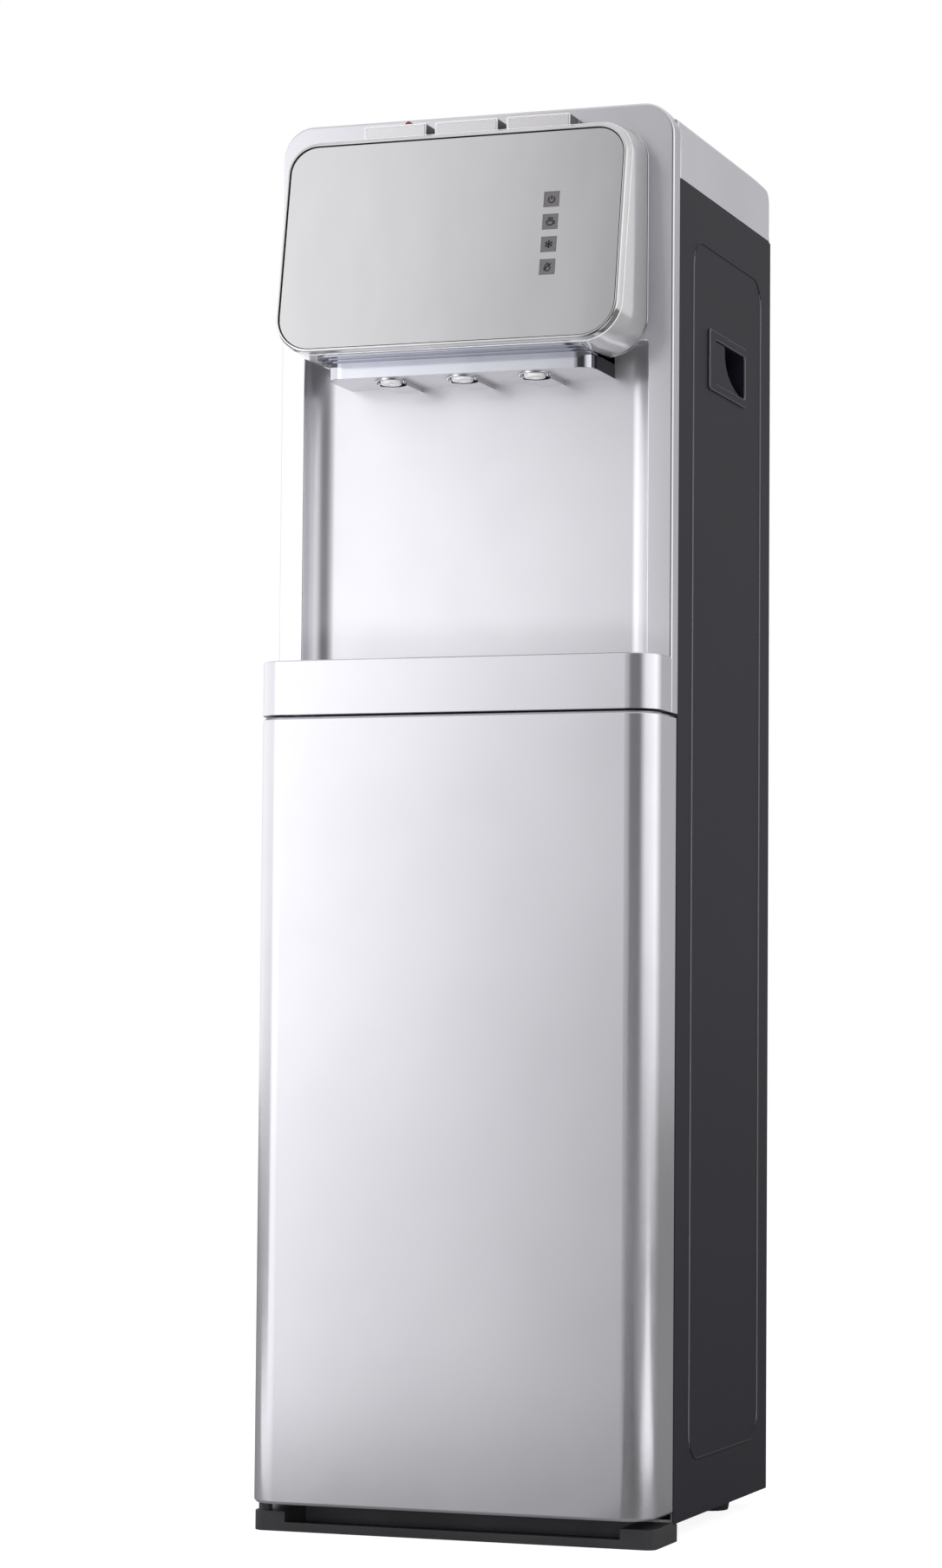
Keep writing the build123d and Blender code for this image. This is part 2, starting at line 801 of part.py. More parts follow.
with BuildPart() as base_pan:
    block((-base_half, base_half), (base_front, base_back), (floor_gap, floor_gap + base_upstand))
    block(
        (-base_half + base_wall, base_half - base_wall),
        (base_front + base_wall, base_back - base_wall),
        (floor_gap + base_wall, floor_gap + base_upstand + over),
        mode=Mode.SUBTRACT,
    )
    # The front wall is only a low sill, so that a bottle slides in
    block(
        (-base_half + base_wall, base_half - base_wall),
        (base_front, base_front + base_wall),
        (floor_gap + base_wall + base_sill, floor_gap + base_upstand + over),
        mode=Mode.SUBTRACT,
    )
save(base_pan, "base_pan")

with BuildPart() as bay_deck:
    block((-inner_half, inner_half), (deck_front, base_back), (deck_bottom, deck_top))
    block((-inner_half, inner_half), (deck_front, deck_front + deck_thickness), (deck_bottom - flange, deck_bottom))
    block((-inner_half, inner_half), (base_back - deck_thickness, base_back), (deck_bottom - flange, deck_bottom))
    peg(probe_x, probe_y, deck_bottom - over, deck_top + over, probe_hose_radius + moving_gap, mode=Mode.SUBTRACT)
save(bay_deck, "bay_deck")

shelf_z = deck_bottom + tank_shelf_rise
shelf_front = fascia_front + tank_shelf_from_front
shelf_back = line_y - 3 * hose_radius

with BuildPart() as tank_shelf:
    block((-inner_half, inner_half), (shelf_front, shelf_back), (shelf_z, shelf_z + deck_thickness))
    block((-inner_half, inner_half), (shelf_front, shelf_front + deck_thickness), (shelf_z - flange, shelf_z))
    for side in (-1, 1):
        with Locations((side * (inner_half - deck_thickness / 2), (shelf_front + shelf_back) / 2, shelf_z - flange / 2)):
            Box(deck_thickness, shelf_back - shelf_front, flange)
save(tank_shelf, "tank_shelf")

# ------------------------------------------------------------------ rear panels
rear_half = half_width - sheet
rear_joint = deck_top + sheet
switch_z = deck_top + switch_above_deck + switch_plate_height / 2
drain_z = switch_z
condenser_low = deck_top + condenser_above_deck
condenser_high = condenser_low + (condenser_passes - 1) * condenser_pitch
condenser_y = rear_face + condenser_standoff + condenser_wire_radius * 2 + condenser_tube_radius
tail_x = condenser_half_span + condenser_tail + line_bend
rocker_z = switch_z + switch_plate_height / 4
rocker_xs = [switch_x - rocker_pitch / 2, switch_x + rocker_pitch / 2]
gland_z = switch_z - switch_plate_height / 4
switch_box_half_width = rocker_width / 2 + moulding
switch_box_half_height = rocker_height / 2 + moulding

with BuildPart() as rear_panel_lower:
    block((-rear_half, rear_half), (cabinet_back, rear_face), (floor_gap + sheet, rear_joint - sheet))
    # Two pressed beads stiffen the sheet
    for bead_x in (-half_width / 2, half_width / 2):
        with BuildSketch(facing_front(rear_face)):
            with Locations((bead_x, (floor_gap + rear_joint) / 2)):
                Rectangle(flange, rear_joint - floor_gap - 4 * flange)
        extrude(amount=-emboss_depth / 2)
save(rear_panel_lower, "rear_panel_lower")

louvre_width = -switch_x - switch_plate_width / 2 - louvre_side_gap - 2 * moulding
louvre_xs = [-louvre_width / 2 - 2 * moulding, louvre_width / 2 + 2 * moulding]
louvre_low = deck_top + louvre_pitch * 3 / 2

with BuildPart() as rear_panel_upper:
    block((-rear_half, rear_half), (cabinet_back, rear_face), (rear_joint, side_top - sheet))
    for x in louvre_xs:
        for row in range(louvre_count):
            row_z = louvre_low + row * louvre_pitch
            with BuildSketch(facing_right(x - louvre_width / 2)):
                with BuildLine():
                    Polyline(
                        (rear_face - sheet, row_z),
                        (rear_face + louvre_rise, row_z),
                        (rear_face, row_z + louvre_pitch * louvre_hood_share),
                        (rear_face - sheet, row_z + louvre_pitch * louvre_hood_share),
                        close=True,
                    )
                make_face()
            extrude(amount=louvre_width)
            with BuildSketch(facing_right(x - louvre_width / 2 + sheet)):
                with BuildLine():
                    Polyline(
                        (rear_face - 2 * sheet, row_z - sheet),
                        (rear_face + louvre_rise - 2 * sheet, row_z - sheet),
                        (rear_face + louvre_rise - 2 * sheet, row_z),
                        (rear_face - sheet, row_z + louvre_pitch * louvre_mouth_share),
                        (rear_face - 2 * sheet, row_z + louvre_pitch * louvre_mouth_share),
                        close=True,
                    )
                make_face()
            extrude(amount=louvre_width - 2 * sheet, mode=Mode.SUBTRACT)
    for x, z, radius in (
        (-tail_x, condenser_low, condenser_tube_radius + 2 * moving_gap),
        (tail_x, condenser_high, condenser_tube_radius + 2 * moving_gap),
        (drain_x, drain_z, drain_tube_radius + seat_gap),
        (switch_x, gland_z, gland_throat + seat_gap),
    ):
        rod_back(x, z, cabinet_back - over, rear_face + over, radius, mode=Mode.SUBTRACT)
    for x in rocker_xs:
        half_w = switch_box_half_width + seat_gap
        half_h = switch_box_half_height + seat_gap
        block((x - half_w, x + half_w), (cabinet_back - over, rear_face + over), (rocker_z - half_h, rocker_z + half_h),
              mode=Mode.SUBTRACT)
save(rear_panel_upper, "rear_panel_upper")

# ------------------------------------------------------------------ control head
head_rise = recess_top + head_face_above_recess - head_face_height / 2
head_mid_depth = (head_depth_top + head_depth_bottom) / 2
head_slope = head_depth_bottom - head_depth_top
face_length = hypot(head_face_height, head_slope)
face_plane = Plane(
    origin=(0, fascia_front - head_mid_depth, head_rise),
    x_dir=(1, 0, 0),
    z_dir=(0, -head_face_height, head_slope),
)


def head_wedge(inset, mode=Mode.ADD):
    """The head's wedge, from the fascia to its sloping face, drawn in by inset all round."""
    face_low = face_plane.from_local_coords((0, inset - face_length / 2, 0))
    face_high = face_plane.from_local_coords((0, face_length / 2 - inset, 0))
    back_high = recess_top + head_back_above_recess
    with BuildPart(mode=Mode.PRIVATE) as wedge:
        with BuildSketch(facing_right(inset - head_width / 2)):
            with BuildLine():
                Polyline(
                    (fascia_front, back_high - head_back_height + inset),
                    (face_low.Y, face_low.Z),
                    (face_high.Y, face_high.Z),
                    (fascia_front, back_high - inset),
                    close=True,
                )
            make_face()
        extrude(amount=head_width - 2 * inset)
        # The four edges that run from the fascia to the face
        fillet(wedge.edges().filter_by(lambda edge: abs((edge % 0.5).Y) > cos(pi / 4)), head_corner - inset)
    add(wedge.part, mode=mode)


shelf_top = fascia_top - button_top_below_fascia - button_height - button_travel - shelf_gap
button_top = fascia_top - button_top_below_fascia
button_bottom = button_top - button_height
button_front = fascia_front - moving_gap - button_depth
button_back = fascia_front - moving_gap

with BuildPart() as head_housing:
    head_wedge(0)
    head_wedge(moulding, mode=Mode.SUBTRACT)
    split(bisect_by=face_plane.offset(-bezel_depth), keep=Keep.BOTTOM)
    # Slots for the buttons, in the top wall
    for x in tap_xs:
        block(
            (x - button_width / 2 - button_play, x + button_width / 2 + button_play),
            (button_front - button_play, fascia_front),
            (button_bottom, button_top),
            mode=Mode.SUBTRACT,
        )
    # Shelf that guides the stems and seats the springs
    block(
        (-head_width / 2 + moulding, head_width / 2 - moulding),
        (button_front - 2 * moulding, fascia_front),
        (shelf_top - shelf_thickness, shelf_top),
    )
    for x in tap_xs:
        peg(x, stem_axis_y, shelf_top - 2 * shelf_thickness, shelf_top + over, stem_radius + stem_play,
            mode=Mode.SUBTRACT)
    # Opening for the tap housing, in the bottom wall
    block(
        (-tap_width / 2 - seat_gap, tap_width / 2 + seat_gap),
        (fascia_front - tap_reach - seat_gap, fascia_front),
        (tap_bottom, recess_top),
        mode=Mode.SUBTRACT,
    )
save(head_housing, "head_housing")

with BuildPart() as head_bezel:
    head_wedge(0)
    split(bisect_by=face_plane.offset(-bezel_depth), keep=Keep.TOP)
    with BuildSketch(face_plane):
        RectangleRounded(head_width - 2 * bezel_lip, face_length - 2 * bezel_lip, head_corner - bezel_lip)
    extrude(amount=-panel_thickness, mode=Mode.SUBTRACT)
    with BuildSketch(face_plane):
        ring = bezel_lip + moulding
        RectangleRounded(head_width - 2 * ring, face_length - 2 * ring, head_corner - ring)
    extrude(amount=-2 * bezel_depth, mode=Mode.SUBTRACT)
save(head_bezel, "head_bezel")

with BuildPart() as head_panel:
    with BuildSketch(face_plane):
        inset = bezel_lip + lens_play
        RectangleRounded(head_width - 2 * inset, face_length - 2 * inset, head_corner - inset)
        with Locations((lens_x, 0)):
            with GridLocations(0, lens_pitch, 1, lens_count):
                Rectangle(lens_size + 2 * lens_play, lens_size + 2 * lens_play, mode=Mode.SUBTRACT)
    extrude(amount=-panel_thickness)
    # Bosses behind the panel carry the control board
    with BuildSketch(face_plane.offset(-panel_thickness)):
        with Locations((lens_x, 0)):
            with GridLocations(board_width - 2 * boss_width, board_height - 2 * boss_width, 2, 2):
                Rectangle(boss_width, boss_width)
    extrude(amount=-board_standoff)
save(head_panel, "head_panel")

with BuildPart() as indicator_lenses:
    with BuildSketch(face_plane):
        with Locations((lens_x, 0)):
            with GridLocations(0, lens_pitch, 1, lens_count):
                Rectangle(lens_size, lens_size)
    extrude(amount=-panel_thickness)
save(indicator_lenses, "indicator_lenses")

with BuildPart() as control_board:
    board_front = panel_thickness + board_standoff
    with BuildSketch(face_plane.offset(-board_front)):
        with Locations((lens_x, 0)):
            Rectangle(board_width, board_height)
    extrude(amount=-board_thickness)
    with BuildSketch(face_plane.offset(-board_front)):
        with Locations((lens_x, 0)):
            with GridLocations(0, lens_pitch, 1, lens_count):
                Rectangle(lens_size / 2, lens_size / 2)
    extrude(amount=board_standoff - moving_gap)
save(control_board, "control_board")

# ------------------------------------------------------------------ push buttons, springs and child lock
valve_bottom = tap_bottom + moulding
bonnet_top = valve_bottom + valve_height + bonnet_height
stem_bottom = bonnet_top - stem_in_bonnet
lock_x = -button_pitch + lock_offset
lock_y = button_front + button_wall + lock_setback + lock_length / 2
lock_slot_depth = lock_length + lock_travel + 2 * moving_gap


def push_button(x):
    """A hollow cap with a long stem that reaches down into its valve."""
    block((x - button_width / 2, x + button_width / 2), (button_front, button_back), (button_bottom, button_top))
    chamfer(edges().group_by(Axis.Z)[-1], button_edge)
    block(
        (x - button_width / 2 + button_wall, x + button_width / 2 - button_wall),
        (button_front + button_wall, button_back - button_wall),
        (button_bottom, button_top - button_wall),
        mode=Mode.SUBTRACT,
    )
    peg(x, stem_axis_y, stem_bottom, button_top - button_wall, stem_radius)


with BuildPart() as hot_button:
    push_button(-button_pitch)
    block(
        (lock_x - lock_width / 2 - moving_gap / 2, lock_x + lock_width / 2 + moving_gap / 2),
        (lock_y - lock_length / 2 - moving_gap, lock_y - lock_length / 2 - moving_gap + lock_slot_depth),
        (button_top - button_wall, button_top),
        mode=Mode.SUBTRACT,
    )
save(hot_button, "hot_button")

with BuildPart() as room_button:
    push_button(0)
save(room_button, "room_button")

with BuildPart() as cold_button:
    push_button(button_pitch)
save(cold_button, "cold_button")

with BuildPart() as child_lock:
    block(
        (lock_x - lock_width / 2, lock_x + lock_width / 2),
        (lock_y - lock_length / 2, lock_y + lock_length / 2),
        (button_top - button_wall - lock_wing_gap, button_top + lock_height),
    )
    chamfer(child_lock.edges().group_by(Axis.Z)[-1], button_edge)
    # Retaining wings under the cap
    block(
        (lock_x - lock_width / 2 - lock_wing, lock_x + lock_width / 2 + lock_wing),
        (lock_y - lock_length / 2, lock_y + lock_length / 2),
        (button_top - button_wall - 2 * lock_wing, button_top - button_wall - lock_wing_gap),
    )
save(child_lock, "child_lock")


def button_spring(x):
    """A return spring round a stem, as the closed sleeve that its wire fills."""
    low = shelf_top
    high = button_top - button_wall
    peg(x, stem_axis_y, low, high, spring_radius)
    peg(x, stem_axis_y, low, high, spring_radius - spring_wire, mode=Mode.SUBTRACT)


with BuildPart() as hot_button_spring:
    button_spring(-button_pitch)
save(hot_button_spring, "hot_button_spring")

with BuildPart() as room_button_spring:
    button_spring(0)
save(room_button_spring, "room_button_spring")

with BuildPart() as cold_button_spring:
    button_spring(button_pitch)
save(cold_button_spring, "cold_button_spring")

# ------------------------------------------------------------------ tap assembly
tap_front = fascia_front - tap_reach
tap_back = recess_back
tap_top = recess_top - moving_gap

with BuildPart() as tap_housing:
    with BuildSketch(Plane.XY.offset(tap_bottom)):
        bow(tap_width / 2, tap_front, tap_back, tap_corner)
    extrude(amount=tap_top - tap_bottom)
    # Two shallow steps round the top edge
    for step, share in enumerate(tap_step_shares):
        with BuildSketch(Plane.XY.offset(tap_bottom + tap_drop * share)):
            bow(tap_width / 2 + over, tap_front - over, tap_back + over, tap_corner + over)
            inset = tap_step * (step + 1)
            with BuildSketch(mode=Mode.PRIVATE) as kept:
                bow(tap_width / 2 - inset, tap_front + inset, tap_back + over, tap_corner - inset)
            add(kept.sketch, mode=Mode.SUBTRACT)
        extrude(amount=tap_drop, mode=Mode.SUBTRACT)
    with BuildSketch(Plane.XY.offset(tap_bottom + moulding)):
        with Locations((0, (tap_front + 2 * moulding + tap_back + over) / 2)):
            Rectangle(tap_width - 4 * moulding, tap_back + over - tap_front - 2 * moulding)
    extrude(amount=tap_drop, mode=Mode.SUBTRACT)
    for x in tap_xs:
        peg(x, tap_axis_y, tap_bottom - over, tap_bottom + moulding + over, nozzle_radius + seat_gap,
            mode=Mode.SUBTRACT, sides=small_sides)
save(tap_housing, "tap_housing")

with BuildPart() as tap_nozzles:
    for x in tap_xs:
        peg(x, tap_axis_y, tap_bottom - nozzle_drop, valve_bottom, nozzle_radius, sides=small_sides)
    chamfer(tap_nozzles.edges().group_by(Axis.Z)[0], nozzle_chamfer)
    for x in tap_xs:
        peg(x, tap_axis_y, tap_bottom - nozzle_drop, valve_bottom, nozzle_bore, mode=Mode.SUBTRACT)
save(tap_nozzles, "tap_nozzles")

with BuildPart() as nozzle_collars:
    for x in tap_xs:
        peg(x, tap_axis_y, tap_bottom - collar_height, tap_bottom, collar_radius, sides=small_sides)
        peg(x, tap_axis_y, tap_bottom - collar_height, tap_bottom, nozzle_radius + seat_gap,
            mode=Mode.SUBTRACT, sides=small_sides)
save(nozzle_collars, "nozzle_collars")

with BuildPart() as tap_blocks:
    for x in tap_xs:
        block(
            (x - tap_block_width / 2, x + tap_block_width / 2),
            (tap_axis_y + nozzle_radius / 2, tap_back),
            (tap_bottom - tap_block_height, tap_bottom),
        )
        peg(x, tap_axis_y, tap_bottom - 2 * tap_block_height, tap_bottom, collar_radius + seat_gap,
            mode=Mode.SUBTRACT, sides=small_sides)
save(tap_blocks, "tap_blocks")

valve_front = tap_axis_y - nozzle_radius
valve_back = fascia_front - moving_gap
spigot_end = recess_back + 4 * liner_wall

with BuildPart() as tap_valves:
    for x in tap_xs:
        block(
            (x - valve_width / 2, x + valve_width / 2),
            (valve_front, valve_back),
            (valve_bottom, valve_bottom + valve_height),
        )
        peg(x, stem_axis_y, valve_bottom + valve_height, bonnet_top, bonnet_radius)
        peg(x, stem_axis_y, bonnet_top - bonnet_depth, bonnet_top, stem_radius + stem_play, mode=Mode.SUBTRACT)
        rod_back(x, spigot_z, valve_back, spigot_end, spigot_radius)
save(tap_valves, "tap_valves")

# ------------------------------------------------------------------ tanks
tank_floor = shelf_z + deck_thickness
cold_y = fascia_front + cold_from_front
hot_y = fascia_front + hot_from_front
foam_top = tank_floor + cold_height + 2 * foam

with BuildPart() as cold_tank:
    drum(cold_x, cold_y, tank_floor + foam, tank_floor + foam + cold_height, cold_radius)
save(cold_tank, "cold_tank")

with BuildPart() as cold_tank_foam:
    drum(cold_x, cold_y, tank_floor, foam_top, foam_radius)
    drum(cold_x, cold_y, tank_floor + foam, tank_floor + foam + cold_height, cold_radius, mode=Mode.SUBTRACT)
    # Two halves meet on a plane through the axis
    block(
        (cold_x - seat_gap / 2, cold_x + seat_gap / 2),
        (cold_y - 2 * foam_radius, cold_y + 2 * foam_radius),
        (tank_floor, foam_top),
        mode=Mode.SUBTRACT,
    )
save(cold_tank_foam, "cold_tank_foam")

with BuildPart() as hot_tank:
    drum(hot_x, hot_y, tank_floor + hot_foot, tank_floor + hot_foot + hot_height, hot_radius)
    peg(hot_x, hot_y, tank_floor, tank_floor + hot_foot, hot_radius - hot_foot_inset)
save(hot_tank, "hot_tank")

# ------------------------------------------------------------------ compressor
compressor_y = fascia_front + compressor_from_front
plate_z = deck_top + grommet_height

with BuildPart() as compressor:
    shell_low = plate_z + compressor_plate
    shell_high = plate_z + compressor_height
    dome_low = shell_high - compressor_dome
    post(0, compressor_y, shell_low, dome_low, compressor_radius)
    # The dome's flats slope in at 45 degrees
    with BuildSketch(Plane.XY.offset(dome_low)):
        with Locations((0, compressor_y)):
            RegularPolygon(compressor_radius, drum_sides)
    extrude(amount=compressor_dome, taper=45)
    with BuildSketch(Plane.XY.offset(plate_z)):
        with Locations((0, compressor_y)):
            Rectangle(grommet_pitch_across + 3 * grommet_radius, grommet_pitch_deep + 3 * grommet_radius)
            with GridLocations(grommet_pitch_across, grommet_pitch_deep, 2, 2):
                RegularPolygon(grommet_neck + seat_gap, hidden_sides, mode=Mode.SUBTRACT)
    extrude(amount=compressor_plate)
    # Terminal box on the front
    block(
        (-terminal_width / 2, terminal_width / 2),
        (compressor_y - compressor_radius - terminal_reach, compressor_y - compressor_radius / 2),
        (plate_z + terminal_rise, plate_z + terminal_rise + terminal_height),
    )
save(compressor, "compressor")

with BuildPart() as compressor_grommets:
    with BuildSketch(Plane.XY.offset(deck_top)):
        with Locations((0, compressor_y)):
            with GridLocations(grommet_pitch_across, grommet_pitch_deep, 2, 2):
                RegularPolygon(grommet_radius, hidden_sides)
    extrude(amount=grommet_height)
    with BuildSketch(Plane.XY.offset(plate_z)):
        with Locations((0, compressor_y)):
            with GridLocations(grommet_pitch_across, grommet_pitch_deep, 2, 2):
                RegularPolygon(grommet_neck, hidden_sides)
    extrude(amount=2 * compressor_plate)
save(compressor_grommets, "compressor_grommets")

# ------------------------------------------------------------------ condenser on the back
# The serpentine's points: each half turn, and each tail's quarter turn, is a few short chords
bend_chords = 6
turn_radius = condenser_pitch / 2
tail_quarter = [pi / 2 * step / bend_chords for step in range(0, bend_chords + 1, 2)]
pipe_mouth_y = cabinet_back - condenser_inlet
condenser_route = [(-tail_x, pipe_mouth_y, condenser_low)]
condenser_route += [
    (-tail_x + line_bend * (1 - cos(angle)), condenser_y - line_bend * (1 - sin(angle)), condenser_low)
    for angle in tail_quarter
]
for run in range(condenser_passes - 1):
    way = 1 if run % 2 == 0 else -1
    run_z = condenser_low + run * condenser_pitch
    condenser_route += [
        (
            way * (condenser_half_span + turn_radius * sin(pi * step / bend_chords)),
            condenser_y,
            run_z + turn_radius * (1 - cos(pi * step / bend_chords)),
        )
        for step in range(bend_chords + 1)
    ]
last_way = 1 if condenser_passes % 2 == 1 else -1
condenser_route += [
    (last_way * (tail_x - line_bend * (1 - cos(angle))), condenser_y - line_bend * (1 - sin(angle)), condenser_high)
    for angle in reversed(tail_quarter)
]
condenser_route += [(last_way * tail_x, pipe_mouth_y, condenser_high)]

with BuildPart() as condenser_tube:
    pipe(condenser_route, condenser_tube_radius)
save(condenser_tube, "condenser_tube")

wire_count = int(2 * condenser_half_span // condenser_wire_pitch) + 1
wire_offset = condenser_tube_radius + condenser_wire_radius + weld_gap

with BuildPart() as condenser_wires:
    with BuildSketch(Plane.XY.offset(condenser_low - wire_overhang)):
        with Locations((0, condenser_y)):
            with GridLocations(condenser_wire_pitch, 2 * wire_offset, wire_count, 2):
                RegularPolygon(condenser_wire_radius, 4)
    extrude(amount=condenser_high - condenser_low + 2 * wire_overhang)
save(condenser_wires, "condenser_wires")

# Clips hold the outer runs off the panel
clip_levels = [condenser_low + condenser_pitch, condenser_high - condenser_pitch]
clip_x = (wire_count - 2) / 2 * condenser_wire_pitch

with BuildPart() as condenser_brackets:
    for z in clip_levels:
        for side in (-1, 1):
            x = side * clip_x
            block(
                (x - clip_width / 2, x + clip_width / 2),
                (rear_face, condenser_y + condenser_tube_radius + clip_lip),
                (z - clip_height / 2, z + clip_height / 2),
            )
            block(
                (x - clip_foot_width / 2, x + clip_foot_width / 2),
                (rear_face, rear_face + clip_lip),
                (z - clip_foot_height / 2, z + clip_foot_height / 2),
            )
            clip_bore = condenser_tube_radius + 2 * weld_gap
            block(
                (x - clip_width, x + clip_width),
                (condenser_y - clip_bore, condenser_y + clip_bore),
                (z - clip_bore, z + clip_bore),
                mode=Mode.SUBTRACT,
            )
save(condenser_brackets, "condenser_brackets")

# ------------------------------------------------------------------ refrigerant lines and dryer
dryer_radius = 9.0
dryer_length = 88.0
dryer_rise = 14.0
dryer_low = condenser_low + dryer_rise
discharge_z = plate_z + discharge_rise

with BuildPart() as filter_dryer:
    peg(-tail_x, line_y, dryer_low, dryer_low + dryer_length, dryer_radius)
    chamfer(filter_dryer.faces().filter_by(Axis.Z).edges(), dryer_radius / 2)
save(filter_dryer, "filter_dryer")

with BuildPart() as refrigerant_lines:
    # Condenser outlet to the dryer
    pipe(
        [
            (-tail_x, pipe_mouth_y, condenser_low),
            (-tail_x, line_y, condenser_low),
            (-tail_x, line_y, dryer_low),
        ],
        thin_line_radius,
    )
    # Compressor outlet to the condenser
    pipe(
        [
            (tail_x, pipe_mouth_y, condenser_high),
            (tail_x, line_y, condenser_high),
            (tail_x, line_y, discharge_z),
            (tail_x, compressor_y, discharge_z),
            (compressor_radius, compressor_y, discharge_z),
        ],
        thin_line_radius,
    )
    # Cold tank back to the compressor
    suction_x = cold_x
    foam_rear = cold_y + foam_radius
    shell_rear = compressor_y + sqrt(compressor_radius ** 2 - (suction_x - line_radius) ** 2)
    pipe(
        [
            (suction_x, foam_rear, tank_floor + 2 * foam),
            (suction_x, line_y, tank_floor + 2 * foam),
            (suction_x, line_y, discharge_z),
            (suction_x, shell_rear, discharge_z),
        ],
        line_radius,
    )
save(refrigerant_lines, "refrigerant_lines")

# ------------------------------------------------------------------ water pump and hoses
pump_y = fascia_front + pump_from_front
pump_low = deck_top + pump_foot_height
hose_low = pump_low + pump_height / 2
outlet_x = pump_x - pump_width / 4

with BuildPart() as water_pump:
    with BuildSketch(Plane.XY.offset(pump_low)):
        with Locations((pump_x, pump_y)):
            Rectangle(pump_width, pump_length)
    extrude(amount=pump_height)
    with BuildSketch(Plane.XY.offset(deck_top)):
        with Locations((pump_x, pump_y)):
            with GridLocations(pump_width - 2 * pump_foot, pump_length - 2 * pump_foot, 2, 2):
                Rectangle(pump_foot, pump_foot)
    extrude(amount=pump_foot_height)
    peg(outlet_x, pump_y, pump_low + pump_height, pump_low + pump_height + pump_spout, hose_radius)
save(water_pump, "water_pump")

with BuildPart() as water_hoses:
    # Bottle to pump
    pipe(
        [
            (probe_x, probe_y, deck_top),
            (probe_x, probe_y, hose_low),
            (probe_x, pump_y + pump_length / 2, hose_low),
        ],
        hose_radius,
    )
    # Pump to the top of the cold tank
    hose_high = foam_top + 4 * hose_radius
    pipe(
        [
            (outlet_x, pump_y, pump_low + pump_height + pump_spout),
            (outlet_x, pump_y, hose_high),
            (cold_x, cold_y, hose_high),
            (cold_x, cold_y, foam_top),
        ],
        hose_radius,
    )
    # Tanks to the three valves
    for x, tank_x, tank_y, radius in (
        (-button_pitch, hot_x, hot_y, hot_radius),
        (0, cold_x, cold_y, foam_radius),
        (button_pitch, cold_x, cold_y, foam_radius),
    ):
        nearest = max(abs(x - tank_x) - hose_radius / cos(pi / hidden_sides), 0)
        rod_back(x, spigot_z, spigot_end, tank_y - drum_reach(radius, nearest), hose_radius)
save(water_hoses, "water_hoses")

# ------------------------------------------------------------------ bottle probe
probe_low = floor_gap + base_wall + probe_foot_gap
probe_top = probe_low + probe_length
cap_top = probe_top + probe_cap_height

with BuildPart() as bottle_probe:
    peg(probe_x, probe_y, probe_low, probe_top, probe_radius, sides=small_sides)
    with BuildSketch(Plane.XY.offset(probe_top)):
        with Locations((probe_x, probe_y)):
            RegularPolygon(probe_cap_radius, small_sides)
    extrude(amount=probe_cap_height, taper=probe_cap_taper)
    # Crossed slots at the foot let water in
    for across in ((probe_slot, 2 * probe_radius + over), (2 * probe_radius + over, probe_slot)):
        with BuildSketch(Plane.XY.offset(probe_low)):
            with Locations((probe_x, probe_y)):
                Rectangle(*across)
        extrude(amount=probe_slot_height, mode=Mode.SUBTRACT)
save(bottle_probe, "bottle_probe")

with BuildPart() as probe_hose:
    peg(probe_x, probe_y, cap_top, deck_top, probe_hose_radius)
save(probe_hose, "probe_hose")

holder_radius = probe_radius + moving_gap
holder_z = probe_low + holder_rise
cup_low = floor_gap + base_wall
cup_high = cup_low + probe_cup_depth
with BuildPart() as probe_holder:
    # Drip cup on the base pan
    peg(probe_x, probe_y, cup_low, cup_high, holder_radius + holder_wall, sides=small_sides)
    peg(probe_x, probe_y, cup_low + holder_wall, cup_high, holder_radius, mode=Mode.SUBTRACT, sides=small_sides)
    # Clip on the rear panel
    peg(probe_x, probe_y, holder_z, holder_z + holder_height, holder_radius + holder_wall, sides=small_sides)
    block(
        (probe_x - holder_height / 2, probe_x + holder_height / 2),
        (probe_y, cabinet_back),
        (holder_z, holder_z + holder_height),
    )
    peg(probe_x, probe_y, holder_z, holder_z + holder_height, holder_radius, mode=Mode.SUBTRACT, sides=small_sides)
    block(
        (probe_x - holder_mouth / 2, probe_x + holder_mouth / 2),
        (probe_y - 2 * holder_radius, probe_y),
        (holder_z, holder_z + holder_height),
        mode=Mode.SUBTRACT,
    )
save(probe_holder, "probe_holder")

# ------------------------------------------------------------------ rear switches, gland and drain
plate_outer = rear_face + switch_plate_thickness
rocker_axis_y = plate_outer - rocker_depth / 4

with BuildPart() as switch_plate:
    with BuildSketch(facing_front(rear_face)):
        with Locations((switch_x, switch_z)):
            Rectangle(switch_plate_width, switch_plate_height)
    extrude(amount=-switch_plate_thickness)
    for x in rocker_xs:
        block(
            (x - switch_box_half_width, x + switch_box_half_width),
            (rear_face - switch_box_depth, plate_outer),
            (rocker_z - switch_box_half_height, rocker_z + switch_box_half_height),
        )
        block(
            (x - rocker_width / 2 - moving_gap, x + rocker_width / 2 + moving_gap),
            (rear_face - switch_box_depth + rocker_taper, plate_outer + over),
            (rocker_z - rocker_height / 2 - rocker_gap, rocker_z + rocker_height / 2 + rocker_gap),
            mode=Mode.SUBTRACT,
        )
        with BuildSketch(facing_right(x - switch_box_half_width)):
            with Locations((rocker_axis_y, rocker_z)):
                RegularPolygon(trunnion_radius + hinge_running_gap, hidden_sides, major_radius=False)
        extrude(amount=2 * switch_box_half_width, mode=Mode.SUBTRACT)
    rod_back(switch_x, gland_z, rear_face - gland_reach, plate_outer + gland_reach, gland_throat)
    rod_back(switch_x, gland_z, plate_outer, plate_outer + gland_reach / 2, gland_radius, sides=gland_nut_sides)
save(switch_plate, "switch_plate")


